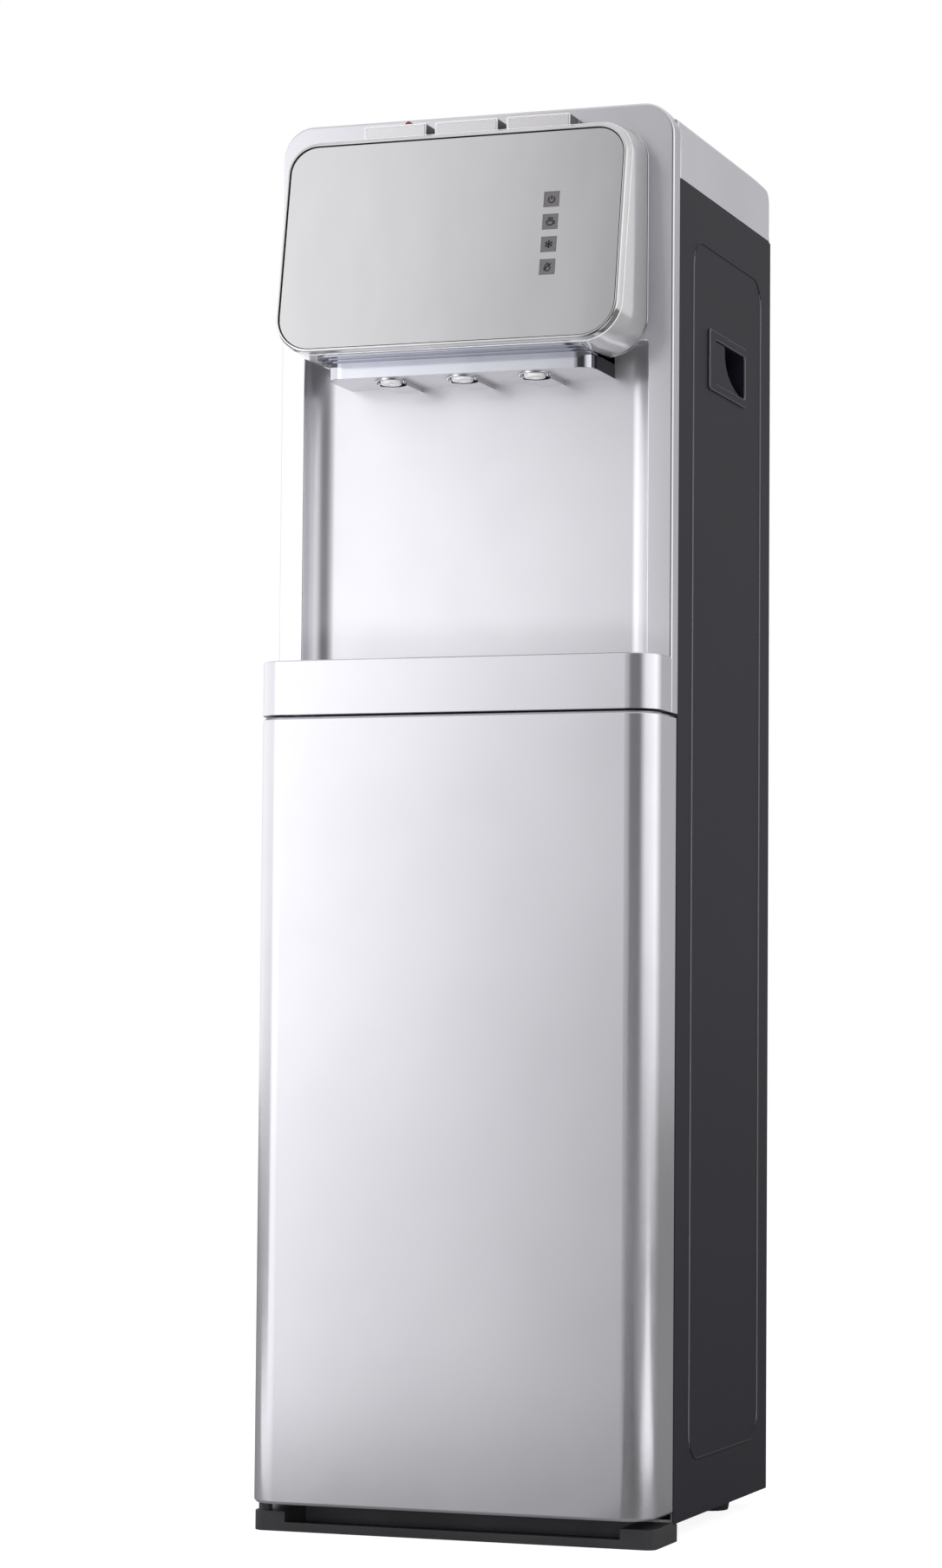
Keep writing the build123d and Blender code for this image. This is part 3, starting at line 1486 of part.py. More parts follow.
def rocker(x):
    """A rocker on two short trunnions, tilted to its off position."""
    low = rocker_z - rocker_height / 2
    high = rocker_z + rocker_height / 2
    face_y = rocker_axis_y + rocker_depth * rocker_face_share
    back_y = face_y - rocker_depth
    with BuildSketch(facing_right(x - rocker_width / 2)) as profile:
        with BuildLine():
            Polyline(
                (face_y, low),
                (back_y + rocker_taper, low + rocker_taper / 2),
                (back_y, rocker_z),
                (back_y + rocker_taper, high - rocker_taper / 2),
                (face_y, high),
            )
            RadiusArc((face_y, high), (face_y, low), -rocker_face_radius)
        make_face()
    extrude(profile.sketch, amount=rocker_width)
    with BuildSketch(facing_right(x - switch_box_half_width + moving_gap)) as trunnion:
        with Locations((rocker_axis_y, rocker_z)):
            RegularPolygon(trunnion_radius, hidden_sides)
    extrude(trunnion.sketch, amount=2 * (switch_box_half_width - moving_gap))


rocker_axis = Axis((0, rocker_axis_y, rocker_z), (1, 0, 0))

with BuildPart() as heating_rocker_level:
    rocker(rocker_xs[0])
with BuildPart() as heating_switch:
    add(heating_rocker_level.part.rotate(rocker_axis, rocker_tilt))
save(heating_switch, "heating_switch")

with BuildPart() as cooling_rocker_level:
    rocker(rocker_xs[1])
with BuildPart() as cooling_switch:
    add(cooling_rocker_level.part.rotate(rocker_axis, rocker_tilt))
save(cooling_switch, "cooling_switch")

cap_start = rear_face + drain_flange_thickness + thrust_gap
spout_end = rear_face + drain_reach

with BuildPart() as drain_spigot:
    rod_back(drain_x, drain_z, rear_face, rear_face + drain_flange_thickness, drain_radius + drain_flange,
             sides=small_sides)
    rod_back(drain_x, drain_z, rear_face - drain_reach, spout_end, drain_tube_radius)
    rod_back(drain_x, drain_z, rear_face - drain_reach, spout_end, drain_bore, mode=Mode.SUBTRACT)
save(drain_spigot, "drain_spigot")

with BuildPart() as drain_cap:
    rod_back(drain_x, drain_z, cap_start, spout_end + moulding, drain_radius, sides=small_sides)
    rod_back(drain_x, drain_z, cap_start, spout_end + thrust_gap, drain_tube_radius + thrust_gap,
             mode=Mode.SUBTRACT)
save(drain_cap, "drain_cap")
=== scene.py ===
"""The looks of a bottom load water cooler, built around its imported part."""

import json
import math

import bmesh
import bpy
from mathutils import Matrix, Vector


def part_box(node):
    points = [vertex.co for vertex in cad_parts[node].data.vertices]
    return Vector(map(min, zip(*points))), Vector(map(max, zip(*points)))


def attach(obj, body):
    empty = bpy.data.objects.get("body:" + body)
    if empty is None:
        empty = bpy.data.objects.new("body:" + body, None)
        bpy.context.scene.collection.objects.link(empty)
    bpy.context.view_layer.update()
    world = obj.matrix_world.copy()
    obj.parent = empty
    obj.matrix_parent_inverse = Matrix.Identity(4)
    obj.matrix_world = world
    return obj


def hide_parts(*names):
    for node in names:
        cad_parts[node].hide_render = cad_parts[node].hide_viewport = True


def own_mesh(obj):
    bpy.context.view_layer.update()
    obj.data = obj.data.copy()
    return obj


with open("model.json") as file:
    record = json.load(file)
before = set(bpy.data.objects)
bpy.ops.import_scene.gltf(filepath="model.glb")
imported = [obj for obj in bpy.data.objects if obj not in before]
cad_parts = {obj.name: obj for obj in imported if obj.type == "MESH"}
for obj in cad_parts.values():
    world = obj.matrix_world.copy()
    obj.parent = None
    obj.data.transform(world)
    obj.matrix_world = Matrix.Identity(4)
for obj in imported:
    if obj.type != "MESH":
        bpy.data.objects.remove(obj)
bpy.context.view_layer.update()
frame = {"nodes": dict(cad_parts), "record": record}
nodes = frame["nodes"]
MM = 0.001


# ---------------------------------------------------------------- camera
# The photograph's own height and focal length in pixels; the camera's place in millimetres,
# its turns in radians and its sensor in millimetres
photo_height = 1808
focal_pixels = 4581.09
camera_place = (979.59, -2886.30, 368.39)
camera_turn = 0.339449
camera_tilt = 0.0622437
camera_roll = 0.00821
sensor_height = 36.0
sight_end = 100.0


def set_camera():
    """The camera stands where the photograph was taken from."""
    ahead = Vector(
        (
            -math.sin(camera_turn) * math.cos(camera_tilt),
            math.cos(camera_turn) * math.cos(camera_tilt),
            math.sin(camera_tilt),
        )
    )
    level = Vector((math.cos(camera_turn), math.sin(camera_turn), 0.0))
    above = level.cross(ahead)
    right = level * math.cos(camera_roll) + above * math.sin(camera_roll)
    up = above * math.cos(camera_roll) - level * math.sin(camera_roll)
    data = bpy.data.cameras.new("photo_camera")
    data.sensor_fit = "VERTICAL"
    data.sensor_height = sensor_height
    data.lens = focal_pixels * sensor_height / photo_height
    data.clip_end = sight_end
    camera = bpy.data.objects.new("photo_camera", data)
    turn = Matrix((right, up, -ahead)).transposed()
    camera.matrix_world = Matrix.Translation(Vector(camera_place) * MM) @ turn.to_4x4()
    bpy.context.scene.collection.objects.link(camera)
    bpy.context.scene.camera = camera


# ---------------------------------------------------------------- shader nodes
class Value:
    """A socket of a finish; Python's operators on it add Math nodes."""

    def __init__(self, finish, socket):
        self.finish = finish
        self.socket = socket

    def maths(self, operation, *values):
        return self.finish.node("ShaderNodeMath", {"operation": operation}, *values)

    def __add__(self, other):
        return self.maths("ADD", self, other)

    def __radd__(self, other):
        return self.maths("ADD", other, self)

    def __sub__(self, other):
        return self.maths("SUBTRACT", self, other)

    def __rsub__(self, other):
        return self.maths("SUBTRACT", other, self)

    def __mul__(self, other):
        return self.maths("MULTIPLY", self, other)

    def __rmul__(self, other):
        return self.maths("MULTIPLY", other, self)

    def ramp(self, low, high):
        """0 below low, 1 above high and smooth between."""
        kind = {"interpolation_type": "SMOOTHSTEP"}
        return self.finish.node("ShaderNodeMapRange", kind, self, low, high, 0.0, 1.0)


def set_stops(ramp, stops):
    """Gives a colour ramp its stops, each a place and a colour."""
    while len(ramp.elements) < len(stops):
        ramp.elements.new(1.0)
    for element, (place, shade) in zip(ramp.elements, stops):
        element.position = place
        element.color = (*shade, 1.0)


class Finish:
    """A material or a world, built from an empty node tree."""

    def __init__(self, name, owner=None):
        self.owner = owner or bpy.data.materials.new(name)
        self.owner.use_nodes = True
        self.tree = self.owner.node_tree
        self.tree.nodes.clear()

    def node(self, kind, settings, *values, out=0, **named):
        """A node of a kind: its settings first, then its sockets by place or by name."""
        made = self.tree.nodes.new(kind)
        for setting, value in settings.items():
            if setting == "stops":
                set_stops(made.color_ramp, value)
            else:
                setattr(made, setting, value)
        for place, value in enumerate(values):
            self.feed(made.inputs[place], value)
        for place, value in named.items():
            self.feed(made.inputs[place.replace("_", " ")], value)
        return Value(self, made.outputs[out])

    def feed(self, socket, value):
        if isinstance(value, Value):
            self.tree.links.new(value.socket, socket)
        elif value is not None:
            socket.default_value = value

    def place(self, kind="Object"):
        """Where a point of the piece is, in metres."""
        return self.node("ShaderNodeTexCoord", {}, out=kind)

    def axes(self, where):
        """The three parts of a place, as values."""
        split = self.tree.nodes.new("ShaderNodeSeparateXYZ")
        self.feed(split.inputs[0], where)
        return [Value(self, part) for part in split.outputs]

    def stretched(self, where, x, y, z):
        kind = {"operation": "MULTIPLY"}
        return self.node("ShaderNodeVectorMath", kind, where, (x, y, z))

    def noise(self, where, scale, detail=2.0, rough=0.5):
        return self.node("ShaderNodeTexNoise", {}, Vector=where, Scale=scale, Detail=detail,
                         Roughness=rough)

    def cells(self, where, scale, out="Distance"):
        return self.node("ShaderNodeTexVoronoi", {}, Vector=where, Scale=scale, out=out)

    def shade(self, amount, low, high):
        """A colour between two, by an amount from 0 to 1."""
        made = self.tree.nodes.new("ShaderNodeMix")
        made.data_type = "RGBA"
        factor, first, second, mixed = 0, 6, 7, 2
        self.feed(made.inputs[factor], amount)
        for place, colour in ((first, low), (second, high)):
            self.feed(made.inputs[place], colour if isinstance(colour, Value) else (*colour, 1.0))
        return Value(self, made.outputs[mixed])

    def bump(self, height, distance, strength):
        return self.node("ShaderNodeBump", {}, Strength=strength, Distance=distance,
                         Height=height)

    def surface(self, colour, roughness, metallic=0.0, normal=None, **more):
        """The principled shader and the output; more holds constant sockets."""
        shader = self.node("ShaderNodeBsdfPrincipled", {}, Base_Color=colour,
                           Roughness=roughness, Metallic=metallic, Normal=normal, **more)
        self.node_out(shader)
        return self.owner

    def node_out(self, shader):
        made = self.tree.nodes.new("ShaderNodeOutputMaterial")
        self.feed(made.inputs["Surface"], shader)


# ---------------------------------------------------------------- finishes
def silver_finish(name, dark, light, roughness, metallic, flake=0.12, peeled=0.00004):
    """Silver lacquer or silver moulded plastic: fine flake, faint clouds, orange peel."""
    finish = Finish(name)
    where = finish.place()
    clouds = finish.noise(where, 5.0, detail=3.0)
    flakes = finish.noise(where, 2600.0, detail=1.0)
    tone = (clouds * (1.0 - flake) + flakes * flake).ramp(0.25, 0.75)
    colour = finish.shade(tone, dark, light)
    wear = finish.noise(where, 38.0, detail=4.0)
    rough = wear * 0.08 + (roughness - 0.04)
    peel = finish.noise(where, 420.0, detail=2.0)
    normal = finish.bump(peel, peeled, strength=0.35)
    return finish.surface(colour, rough, metallic, normal, Coat_Weight=0.25,
                          Coat_Roughness=0.12)


def charcoal_finish(name, dark, light, roughness, scratched=1.0, shine=0.35):
    """Dark coated steel with a fine texture and light rubbed marks."""
    finish = Finish(name)
    where = finish.place()
    rubbed_grey = (0.22, 0.22, 0.23)
    clouds = finish.noise(where, 4.0, detail=3.0)
    grain = finish.noise(where, 900.0, detail=2.0)
    rubs = finish.noise(finish.stretched(where, 1.0, 240.0, 7.0), 3.0, detail=3.0, rough=0.62)
    rubbed = rubs.ramp(0.64, 0.80) * finish.noise(where, 9.0).ramp(0.42, 0.70) * scratched
    tone = (clouds * 0.6 + grain * 0.4).ramp(0.2, 0.8)
    colour = finish.shade(rubbed * 0.35, finish.shade(tone, dark, light), rubbed_grey)
    rough = clouds * 0.12 + (roughness - 0.06) + rubbed * 0.10
    normal = finish.bump(grain, 0.00006, strength=0.45)
    return finish.surface(colour, rough, 0.0, normal, Specular_IOR_Level=shine)


def moulded_finish(name, dark, light, roughness, grain=420.0, depth=0.00006, **more):
    """Moulded plastic: faint flow clouds, a fine spark-eroded grain and slight rubbing."""
    finish = Finish(name)
    where = finish.place()
    clouds = finish.noise(where, 9.0, detail=3.0)
    pits = finish.noise(where, grain, detail=3.0, rough=0.6)
    colour = finish.shade((clouds * 0.7 + pits * 0.3).ramp(0.25, 0.75), dark, light)
    rough = clouds * 0.12 + (roughness - 0.06)
    normal = finish.bump(pits, depth, strength=0.5)
    return finish.surface(colour, rough, 0.0, normal, **more)


def polished_finish(name, dark, light, roughness):
    """Chrome or mirror plate with faint handling smears."""
    finish = Finish(name)
    where = finish.place()
    smears = finish.noise(finish.stretched(where, 3.0, 1.0, 1.0), 7.0, detail=4.0, rough=0.6)
    colour = finish.shade(smears.ramp(0.3, 0.7), dark, light)
    rough = smears.ramp(0.35, 0.75) * 0.05 + roughness
    ripple = finish.noise(where, 160.0, detail=2.0)
    normal = finish.bump(ripple, 0.00001, strength=0.15)
    return finish.surface(colour, rough, 1.0, normal)


def zinc_finish(name):
    """Galvanised sheet with its spangle."""
    finish = Finish(name)
    where = finish.place()
    spangle = finish.cells(where, 95.0, out="Color")
    grey = finish.node("ShaderNodeRGBToBW", {}, spangle)
    streaks = finish.noise(finish.stretched(where, 1.0, 1.0, 12.0), 14.0, detail=3.0)
    tone = (grey * 0.6 + streaks * 0.4).ramp(0.1, 0.9)
    colour = finish.shade(tone, (0.38, 0.39, 0.41), (0.62, 0.63, 0.64))
    rough = grey * 0.18 + 0.30
    normal = finish.bump(streaks, 0.00005, strength=0.3)
    return finish.surface(colour, rough, 0.85, normal)


def copper_finish(name):
    """Copper pipe, dulled and browned in places."""
    finish = Finish(name)
    where = finish.place()
    tarnish = finish.noise(where, 34.0, detail=4.0, rough=0.6)
    colour = finish.shade(tarnish.ramp(0.35, 0.7), (0.72, 0.33, 0.20), (0.30, 0.15, 0.10))
    rough = tarnish * 0.30 + 0.18
    normal = finish.bump(tarnish, 0.00004, strength=0.3)
    return finish.surface(colour, rough, 0.9, normal)


def foam_finish(name):
    """Expanded foam: rounded beads with dark seams."""
    finish = Finish(name)
    where = finish.place()
    beads = finish.cells(where, 260.0)
    seams = beads.ramp(0.35, 0.75)
    colour = finish.shade(seams, (0.82, 0.81, 0.77), (0.60, 0.59, 0.55))
    normal = finish.bump(beads, 0.0008, strength=0.6)
    return finish.surface(colour, 0.85, 0.0, normal)


def board_finish(name):
    """A printed circuit board: green lacquer over copper tracks."""
    finish = Finish(name)
    where = finish.place()
    bricks = finish.node("ShaderNodeTexBrick", {}, Vector=where, Scale=90.0, Mortar_Size=0.06,
                         out="Fac")
    colour = finish.shade(bricks, (0.010, 0.11, 0.035), (0.035, 0.22, 0.09))
    normal = finish.bump(bricks, 0.00005, strength=0.5)
    return finish.surface(colour, 0.32, 0.0, normal, Coat_Weight=0.3)


def hose_finish(name):
    """Clear flexible hose, slightly milky."""
    finish = Finish(name)
    where = finish.place()
    haze = finish.noise(where, 60.0, detail=3.0)
    colour = finish.shade(haze.ramp(0.3, 0.7), (0.72, 0.76, 0.78), (0.86, 0.88, 0.89))
    rough = haze * 0.12 + 0.16
    return finish.surface(colour, rough, Transmission_Weight=0.45, IOR=1.4)


def recipe(maker, *colours, **more):
    """A finish's maker with its darkest and lightest colours and the maker's other values."""
    return maker, colours, more


recipes = {
    "silver_plastic": recipe(silver_finish, (0.675, 0.668, 0.712), (0.745, 0.737, 0.785),
                             roughness=0.20, metallic=0.88),
    "cover_plastic": recipe(silver_finish, (0.555, 0.547, 0.588), (0.615, 0.607, 0.650),
                            roughness=0.32, metallic=0.35),
    "charcoal_paint": recipe(charcoal_finish, (0.0112, 0.0106, 0.0162), (0.0178, 0.0169, 0.0255),
                             roughness=0.50, shine=0.165),
    "black_plastic": recipe(moulded_finish, (0.012, 0.012, 0.013), (0.022, 0.022, 0.023),
                            roughness=0.30, Specular_IOR_Level=0.32),
    "matte_black": recipe(moulded_finish, (0.016, 0.016, 0.018), (0.030, 0.030, 0.033),
                          roughness=0.50),
    "chrome_plastic": recipe(polished_finish, (0.60, 0.61, 0.67), (0.66, 0.67, 0.73),
                             roughness=0.10),
    "white_plastic": recipe(moulded_finish, (0.80, 0.80, 0.80), (0.87, 0.87, 0.87),
                            roughness=0.30),
    "nozzle_white": recipe(moulded_finish, (0.86, 0.86, 0.87), (0.92, 0.92, 0.93),
                           roughness=0.48),
    # painted light for the nozzles' undersides
    "nozzle_pearl": recipe(silver_finish, (0.88, 0.88, 0.90), (0.94, 0.94, 0.96),
                           roughness=0.40, metallic=0.45, peeled=0.000005),
    "mirror_panel": recipe(polished_finish, (0.690, 0.683, 0.702), (0.732, 0.724, 0.742),
                           roughness=0.17),
    "lens_grey": recipe(moulded_finish, (0.105, 0.100, 0.108), (0.130, 0.125, 0.134),
                        roughness=0.34),
    "lock_red": recipe(moulded_finish, (0.16, 0.016, 0.015), (0.23, 0.026, 0.022),
                       roughness=0.36),
    "silver_gloss": recipe(silver_finish, (0.705, 0.695, 0.720), (0.765, 0.755, 0.780),
                           roughness=0.15, metallic=0.50, peeled=0.00001),
    "silver_matt": recipe(silver_finish, (0.68, 0.675, 0.71), (0.75, 0.745, 0.78),
                          roughness=0.36, metallic=0.55, peeled=0.00001),
    "trim_chrome": recipe(polished_finish, (0.70, 0.70, 0.71), (0.80, 0.80, 0.81),
                          roughness=0.14),
    "button_silver": recipe(silver_finish, (0.71, 0.695, 0.72), (0.77, 0.755, 0.78),
                            roughness=0.22, metallic=0.70, peeled=0.000005),
    # painted highlight white, for lit edges and the head's seam line
    "rim_bright": recipe(moulded_finish, (0.84, 0.84, 0.84), (0.90, 0.90, 0.90),
                         roughness=0.22),
    # painted highlight for the side panels' bead
    "charcoal_edge": recipe(charcoal_finish, (0.075, 0.075, 0.085), (0.14, 0.14, 0.155),
                            roughness=0.36),
    # painted shade for the tap bar's ends
    "chrome_shade": recipe(polished_finish, (0.05, 0.05, 0.06), (0.08, 0.08, 0.10),
                           roughness=0.16),
    "silver_recess": recipe(silver_finish, (0.70, 0.693, 0.735), (0.765, 0.757, 0.80),
                            roughness=0.30, metallic=0.80, peeled=0.000005),
    "cup_black": recipe(moulded_finish, (0.0100, 0.0092, 0.0150), (0.0160, 0.0148, 0.0240),
                        roughness=0.46, Specular_IOR_Level=0.14),
    # painted highlight for the handle cups' edges
    "cup_edge": recipe(moulded_finish, (0.075, 0.074, 0.085), (0.120, 0.118, 0.135),
                       roughness=0.30),
    # painted shade for the buttons' sides
    "button_side": recipe(moulded_finish, (0.10, 0.098, 0.105), (0.14, 0.137, 0.147),
                          roughness=0.40),
    # darker, bluer chrome: painted shade for the ledges under the head
    "chrome_upper": recipe(polished_finish, (0.40, 0.41, 0.48), (0.47, 0.48, 0.55),
                           roughness=0.16),
    "sign_black": recipe(moulded_finish, (0.012, 0.012, 0.013), (0.02, 0.02, 0.02),
                         roughness=0.45),
    "zinc_sheet": recipe(zinc_finish),
    "chrome_ring": recipe(polished_finish, (0.74, 0.75, 0.77), (0.80, 0.81, 0.83),
                          roughness=0.08),
    "black_tube": recipe(charcoal_finish, (0.012, 0.012, 0.013), (0.022, 0.022, 0.024),
                         roughness=0.38, scratched=0.3),
    "can_black": recipe(charcoal_finish, (0.010, 0.010, 0.011), (0.018, 0.018, 0.020),
                        roughness=0.34, scratched=0.5),
    "copper": recipe(copper_finish),
    "rubber_black": recipe(moulded_finish, (0.014, 0.014, 0.014), (0.026, 0.026, 0.026),
                           roughness=0.75),
    "clear_hose": recipe(hose_finish),
    "tank_core": recipe(silver_finish, (0.46, 0.47, 0.48), (0.56, 0.57, 0.58),
                        roughness=0.30, metallic=0.95),
    "foam_white": recipe(foam_finish),
    "board_green": recipe(board_finish),
}
finishes = {name: maker(name, *colours, **more)
            for name, (maker, colours, more) in recipes.items()}


# ---------------------------------------------------------------- mesh tools
node_body = {name: body for body, names in frame["record"]["behaviour"]["bodies"].items()
             for name in names}
node_slot = {part["node"]: part["material_slot"] for part in frame["record"]["subparts"]}
stood_for = set()
# How near two points are one, in metres; how flat two faces are one, in degrees; and the
# radius that the sharpest corner of an outline keeps, in millimetres
weld = 1e-5
flat_angle = 1.0
sharp_radius = 0.02


def hold(piece, body, finish, stands_for=()):
    """Gives a piece its finish, its body and the CAD nodes that it stands for."""
    piece.data.materials.clear()
    piece.data.materials.append(finishes[finish])
    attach(piece, body)
    if stands_for:
        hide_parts(*stands_for)
        stood_for.update(stands_for)


def smooth(mesh, angle):
    mesh.shade_smooth()
    mesh.set_sharp_from_angle(angle=math.radians(angle))


def apply_all(piece):
    """Makes a piece's modifiers part of its mesh."""
    held = piece.evaluated_get(bpy.context.evaluated_depsgraph_get())
    mesh = bpy.data.meshes.new_from_object(held)
    piece.modifiers.clear()
    old = piece.data
    piece.data = mesh
    bpy.data.meshes.remove(old)


def finished(piece, round_edge, steps, limit, weighted=True):
    """Rounds a piece's edges and keeps its flat faces flat."""
    if round_edge:
        bevel = piece.modifiers.new("rounded", "BEVEL")
        bevel.width = round_edge * MM
        bevel.segments = steps
        bevel.limit_method = "ANGLE"
        bevel.angle_limit = math.radians(limit)
        bevel.use_clamp_overlap = True
        apply_all(piece)
    smooth(piece.data, limit)
    if weighted:
        flat = piece.modifiers.new("flat_faces", "WEIGHTED_NORMAL")
        flat.keep_sharp = True
        apply_all(piece)


def refined(node, round_edge, finish=None):
    """A copy of a CAD node with its flat faces whole again and its edges rounded."""
    mesh = nodes[node].data.copy()
    form = bmesh.new()
    form.from_mesh(mesh)
    bmesh.ops.remove_doubles(form, verts=form.verts, dist=weld)
    bmesh.ops.dissolve_limit(form, angle_limit=math.radians(flat_angle), verts=form.verts,
                             edges=form.edges)
    form.to_mesh(mesh)
    form.free()
    piece = bpy.data.objects.new(node + "_formed", mesh)
    bpy.context.scene.collection.objects.link(piece)
    finished(piece, round_edge, steps=2, limit=28.0)
    slot = node_slot[node]
    hold(piece, node_body[node], finish or slot, (node,))


def span(node):
    """The lowest and highest corners of a CAD node, in millimetres."""
    low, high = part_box(node)
    return low / MM, high / MM


def rounded(left, right, low, high, radii, steps=8):
    """Points round a rectangle from its lower left corner, with a radius for each corner."""
    sides = ((left, 1, low, 1, 180), (right, -1, low, 1, 270),
             (right, -1, high, -1, 0), (left, 1, high, -1, 90))
    points = []
    for (u, u_in, v, v_in, start), radius in zip(sides, radii):
        radius = max(radius, sharp_radius)
        for step in range(steps + 1):
            angle = math.radians(start + 90 * step / steps)
            points.append((u + radius * (u_in + math.cos(angle)),
                           v + radius * (v_in + math.sin(angle))))
    return points


def loft(rings, wrapped=False):
    """Skin over rings that all have the same number of points, closed at its ends or wrapped."""
    count = len(rings[0])
    vertices = [point for ring in rings for point in ring]
    faces = []
    for level in range(len(rings) if wrapped else len(rings) - 1):
        here = level * count
        there = (level + 1) % len(rings) * count
        for step in range(count):
            after = (step + 1) % count
            faces.append((here + step, here + after, there + after, there + step))
    if not wrapped:
        faces.append(tuple(reversed(range(count))))
        faces.append(tuple(range(len(vertices) - count, len(vertices))))
    return vertices, faces


def joined(*shapes):
    """Several shapes as one list of points and faces."""
    vertices, faces = [], []
    for more_vertices, more_faces in shapes:
        start = len(vertices)
        vertices += more_vertices
        faces += [tuple(start + corner for corner in face) for face in more_faces]
    return vertices, faces


def brick(x, y, z):
    """A plain block, as a cutter or a core."""
    corners = ((x[0], y[0]), (x[1], y[0]), (x[1], y[1]), (x[0], y[1]))
    return loft([[(u, v, level) for u, v in corners] for level in z])


def lathe(profile, centre, sides=40, wrapped=False):
    """A turned shape: a profile of radius and height about an upright axis through a centre."""
    rings = []
    for radius, height in profile:
        ring = []
        for step in range(sides):
            angle = 2 * math.pi * step / sides
            ring.append((centre[0] + radius * math.cos(angle),
                         centre[1] + radius * math.sin(angle), centre[2] + height))
        rings.append(ring)
    return loft(rings, wrapped)


def tube(points, radius, sides=12, closed=False):
    """A round tube through points, with its rings turned as little as possible."""
    places = [Vector(point) for point in points]
    rings = []
    across = None
    last = len(places) - 1
    for step, place in enumerate(places):
        before = places[step - 1 if step or closed else 0]
        after = places[(step + 1) % len(places) if step < last or closed else last]
        ahead = (after - before).normalized()
        if across is None:
            across = ahead.orthogonal().normalized()
        across = (across - ahead * across.dot(ahead)).normalized()
        other = ahead.cross(across)
        rings.append([tuple(place + (across * math.cos(turn) + other * math.sin(turn)) * radius)
                      for turn in (2 * math.pi * side / sides for side in range(sides))])
    return loft(rings, wrapped=closed)


def quarter(radius, steps=4):
    """Inset and setback of an edge that is rounded from a side onto a face."""
    return [(radius * (1 - math.cos(turn)), radius * (1 - math.sin(turn)))
            for turn in (math.pi / 2 * step / steps for step in range(steps + 1))]


def made(name, shape, cuts=(), round_edge=0.0, steps=2, limit=30.0, weighted=True):
    """A piece from a shape, with cutters taken out of it."""
    pieces = []
    for part, (vertices, faces) in enumerate((shape, *cuts)):
        mesh = bpy.data.meshes.new(name)
        mesh.from_pydata([Vector(vertex) * MM for vertex in vertices], [], faces)
        form = bmesh.new()
        form.from_mesh(mesh)
        bmesh.ops.recalc_face_normals(form, faces=form.faces)
        form.to_mesh(mesh)
        form.free()
        piece = bpy.data.objects.new(name if not part else "cutter", mesh)
        bpy.context.scene.collection.objects.link(piece)
        pieces.append(piece)
    piece = pieces[0]
    for cutter in pieces[1:]:
        cut = piece.modifiers.new("cut", "BOOLEAN")
        cut.operation = "DIFFERENCE"
        cut.solver = "EXACT"
        cut.object = cutter
    if cuts:
        apply_all(piece)
        for cutter in pieces[1:]:
            bpy.data.objects.remove(cutter)
    finished(piece, round_edge, steps, limit, weighted)
    return piece


def paint(piece, finish, test):
    """A second finish on the faces whose centre and normal pass a test, in millimetres."""
    piece.data.materials.append(finishes[finish])
    place = len(piece.data.materials) - 1
    for face in piece.data.polygons:
        if test(face.center / MM, face.normal):
            face.material_index = place


set_camera()


# ---------------------------------------------------------------- fascia
fascia_low, fascia_high = span("front_fascia")
front, half = fascia_low.y, fascia_high.x
wall = 2.5
rim = 19.5
recess_top = span("tap_housing")[1].z + 0.5
opening = (-half + rim, half - rim, fascia_low.z + wall, recess_top)
button_nodes = ("hot_button", "room_button", "cold_button")
stem_depth = 13


def facing(points, y):
    return [(u, y, v) for u, v in points]


def fascia():
    """The silver surround: a shallow shell with soft edges, open to the recess."""
    corner, mouth_corner, edge, lip = 24.0, 3, 2.0, 1.0

    def outline(inset):
        return rounded(-half + inset, half - inset, fascia_low.z + inset, fascia_high.z - inset,
                       (0, 0, corner - inset, corner - inset), 12)

    def mouth(inset):
        left, right, low, high = opening
        return rounded(left + inset, right - inset, low + inset, high - inset,
                       (0, 0, mouth_corner, mouth_corner), 12)

    rings = [facing(outline(0), fascia_high.y)]
    rings += [facing(outline(inset), front + back) for inset, back in quarter(edge)]
    rings += [facing(mouth(-inset), front + back) for inset, back in reversed(quarter(lip))]
    rings += [facing(mouth(0), front + wall), facing(outline(wall), front + wall),
              facing(outline(wall), fascia_high.y)]
    hold(made("fascia_surround", loft(rings, wrapped=True)), "cabinet", "silver_plastic",
         stands_for=("front_fascia",))


# ---------------------------------------------------------------- control head
# The head's sloping face, and its foot on the fascia, both measured from the recess's top
head_depth_top, head_depth_bottom = 42.6, 72.0
face_half, face_rise, face_height = 132.6, 153.3, 161.6
foot_half, foot_rise, foot_height = 134.8, 159.7, 170.4
face_top = recess_top + face_rise
face_bottom = face_top - face_height
face_slope = Vector((0.0, head_depth_bottom - head_depth_top, face_top - face_bottom))
face_length = face_slope.length
face_up = face_slope.normalized()
face_out = Vector((0.0, -face_up.z, face_up.y))
face_middle = Vector((0.0, front - (head_depth_top + head_depth_bottom) / 2,
                      (face_top + face_bottom) / 2))
face_corners = (28.0, 28.0, 23.0, 23.0)
foot_corners = (29.0, 29.0, 25.0, 25.0)
foot = (-foot_half, foot_half, recess_top + foot_rise - foot_height, recess_top + foot_rise)
flank_bulge = 2.4
head_wall = 2.5
# The seam between the shell and the plated trim, back from the face, and the soft edges on both
# its sides: how far from its middle, and how far in
trim_seam = 8.0
seam_edge = ((1.2, 0.0), (0.5, 0.15), (0.25, 0.6), (0.25, head_wall))
trim_lip = 1.5
# The tap bar, ahead of its CAD node and a little higher
bar_low, bar_high = span("tap_housing")
bar_low += Vector((-3.0, -3.5, 1.5))
bar_high += Vector((1.0, 0.0, 1.5))


def on_face(u, v, out=0.0):
    """A place on the head's sloping face: across, up the slope and out of it."""
    return tuple(face_middle + Vector((u, 0.0, 0.0)) + face_up * v + face_out * out)


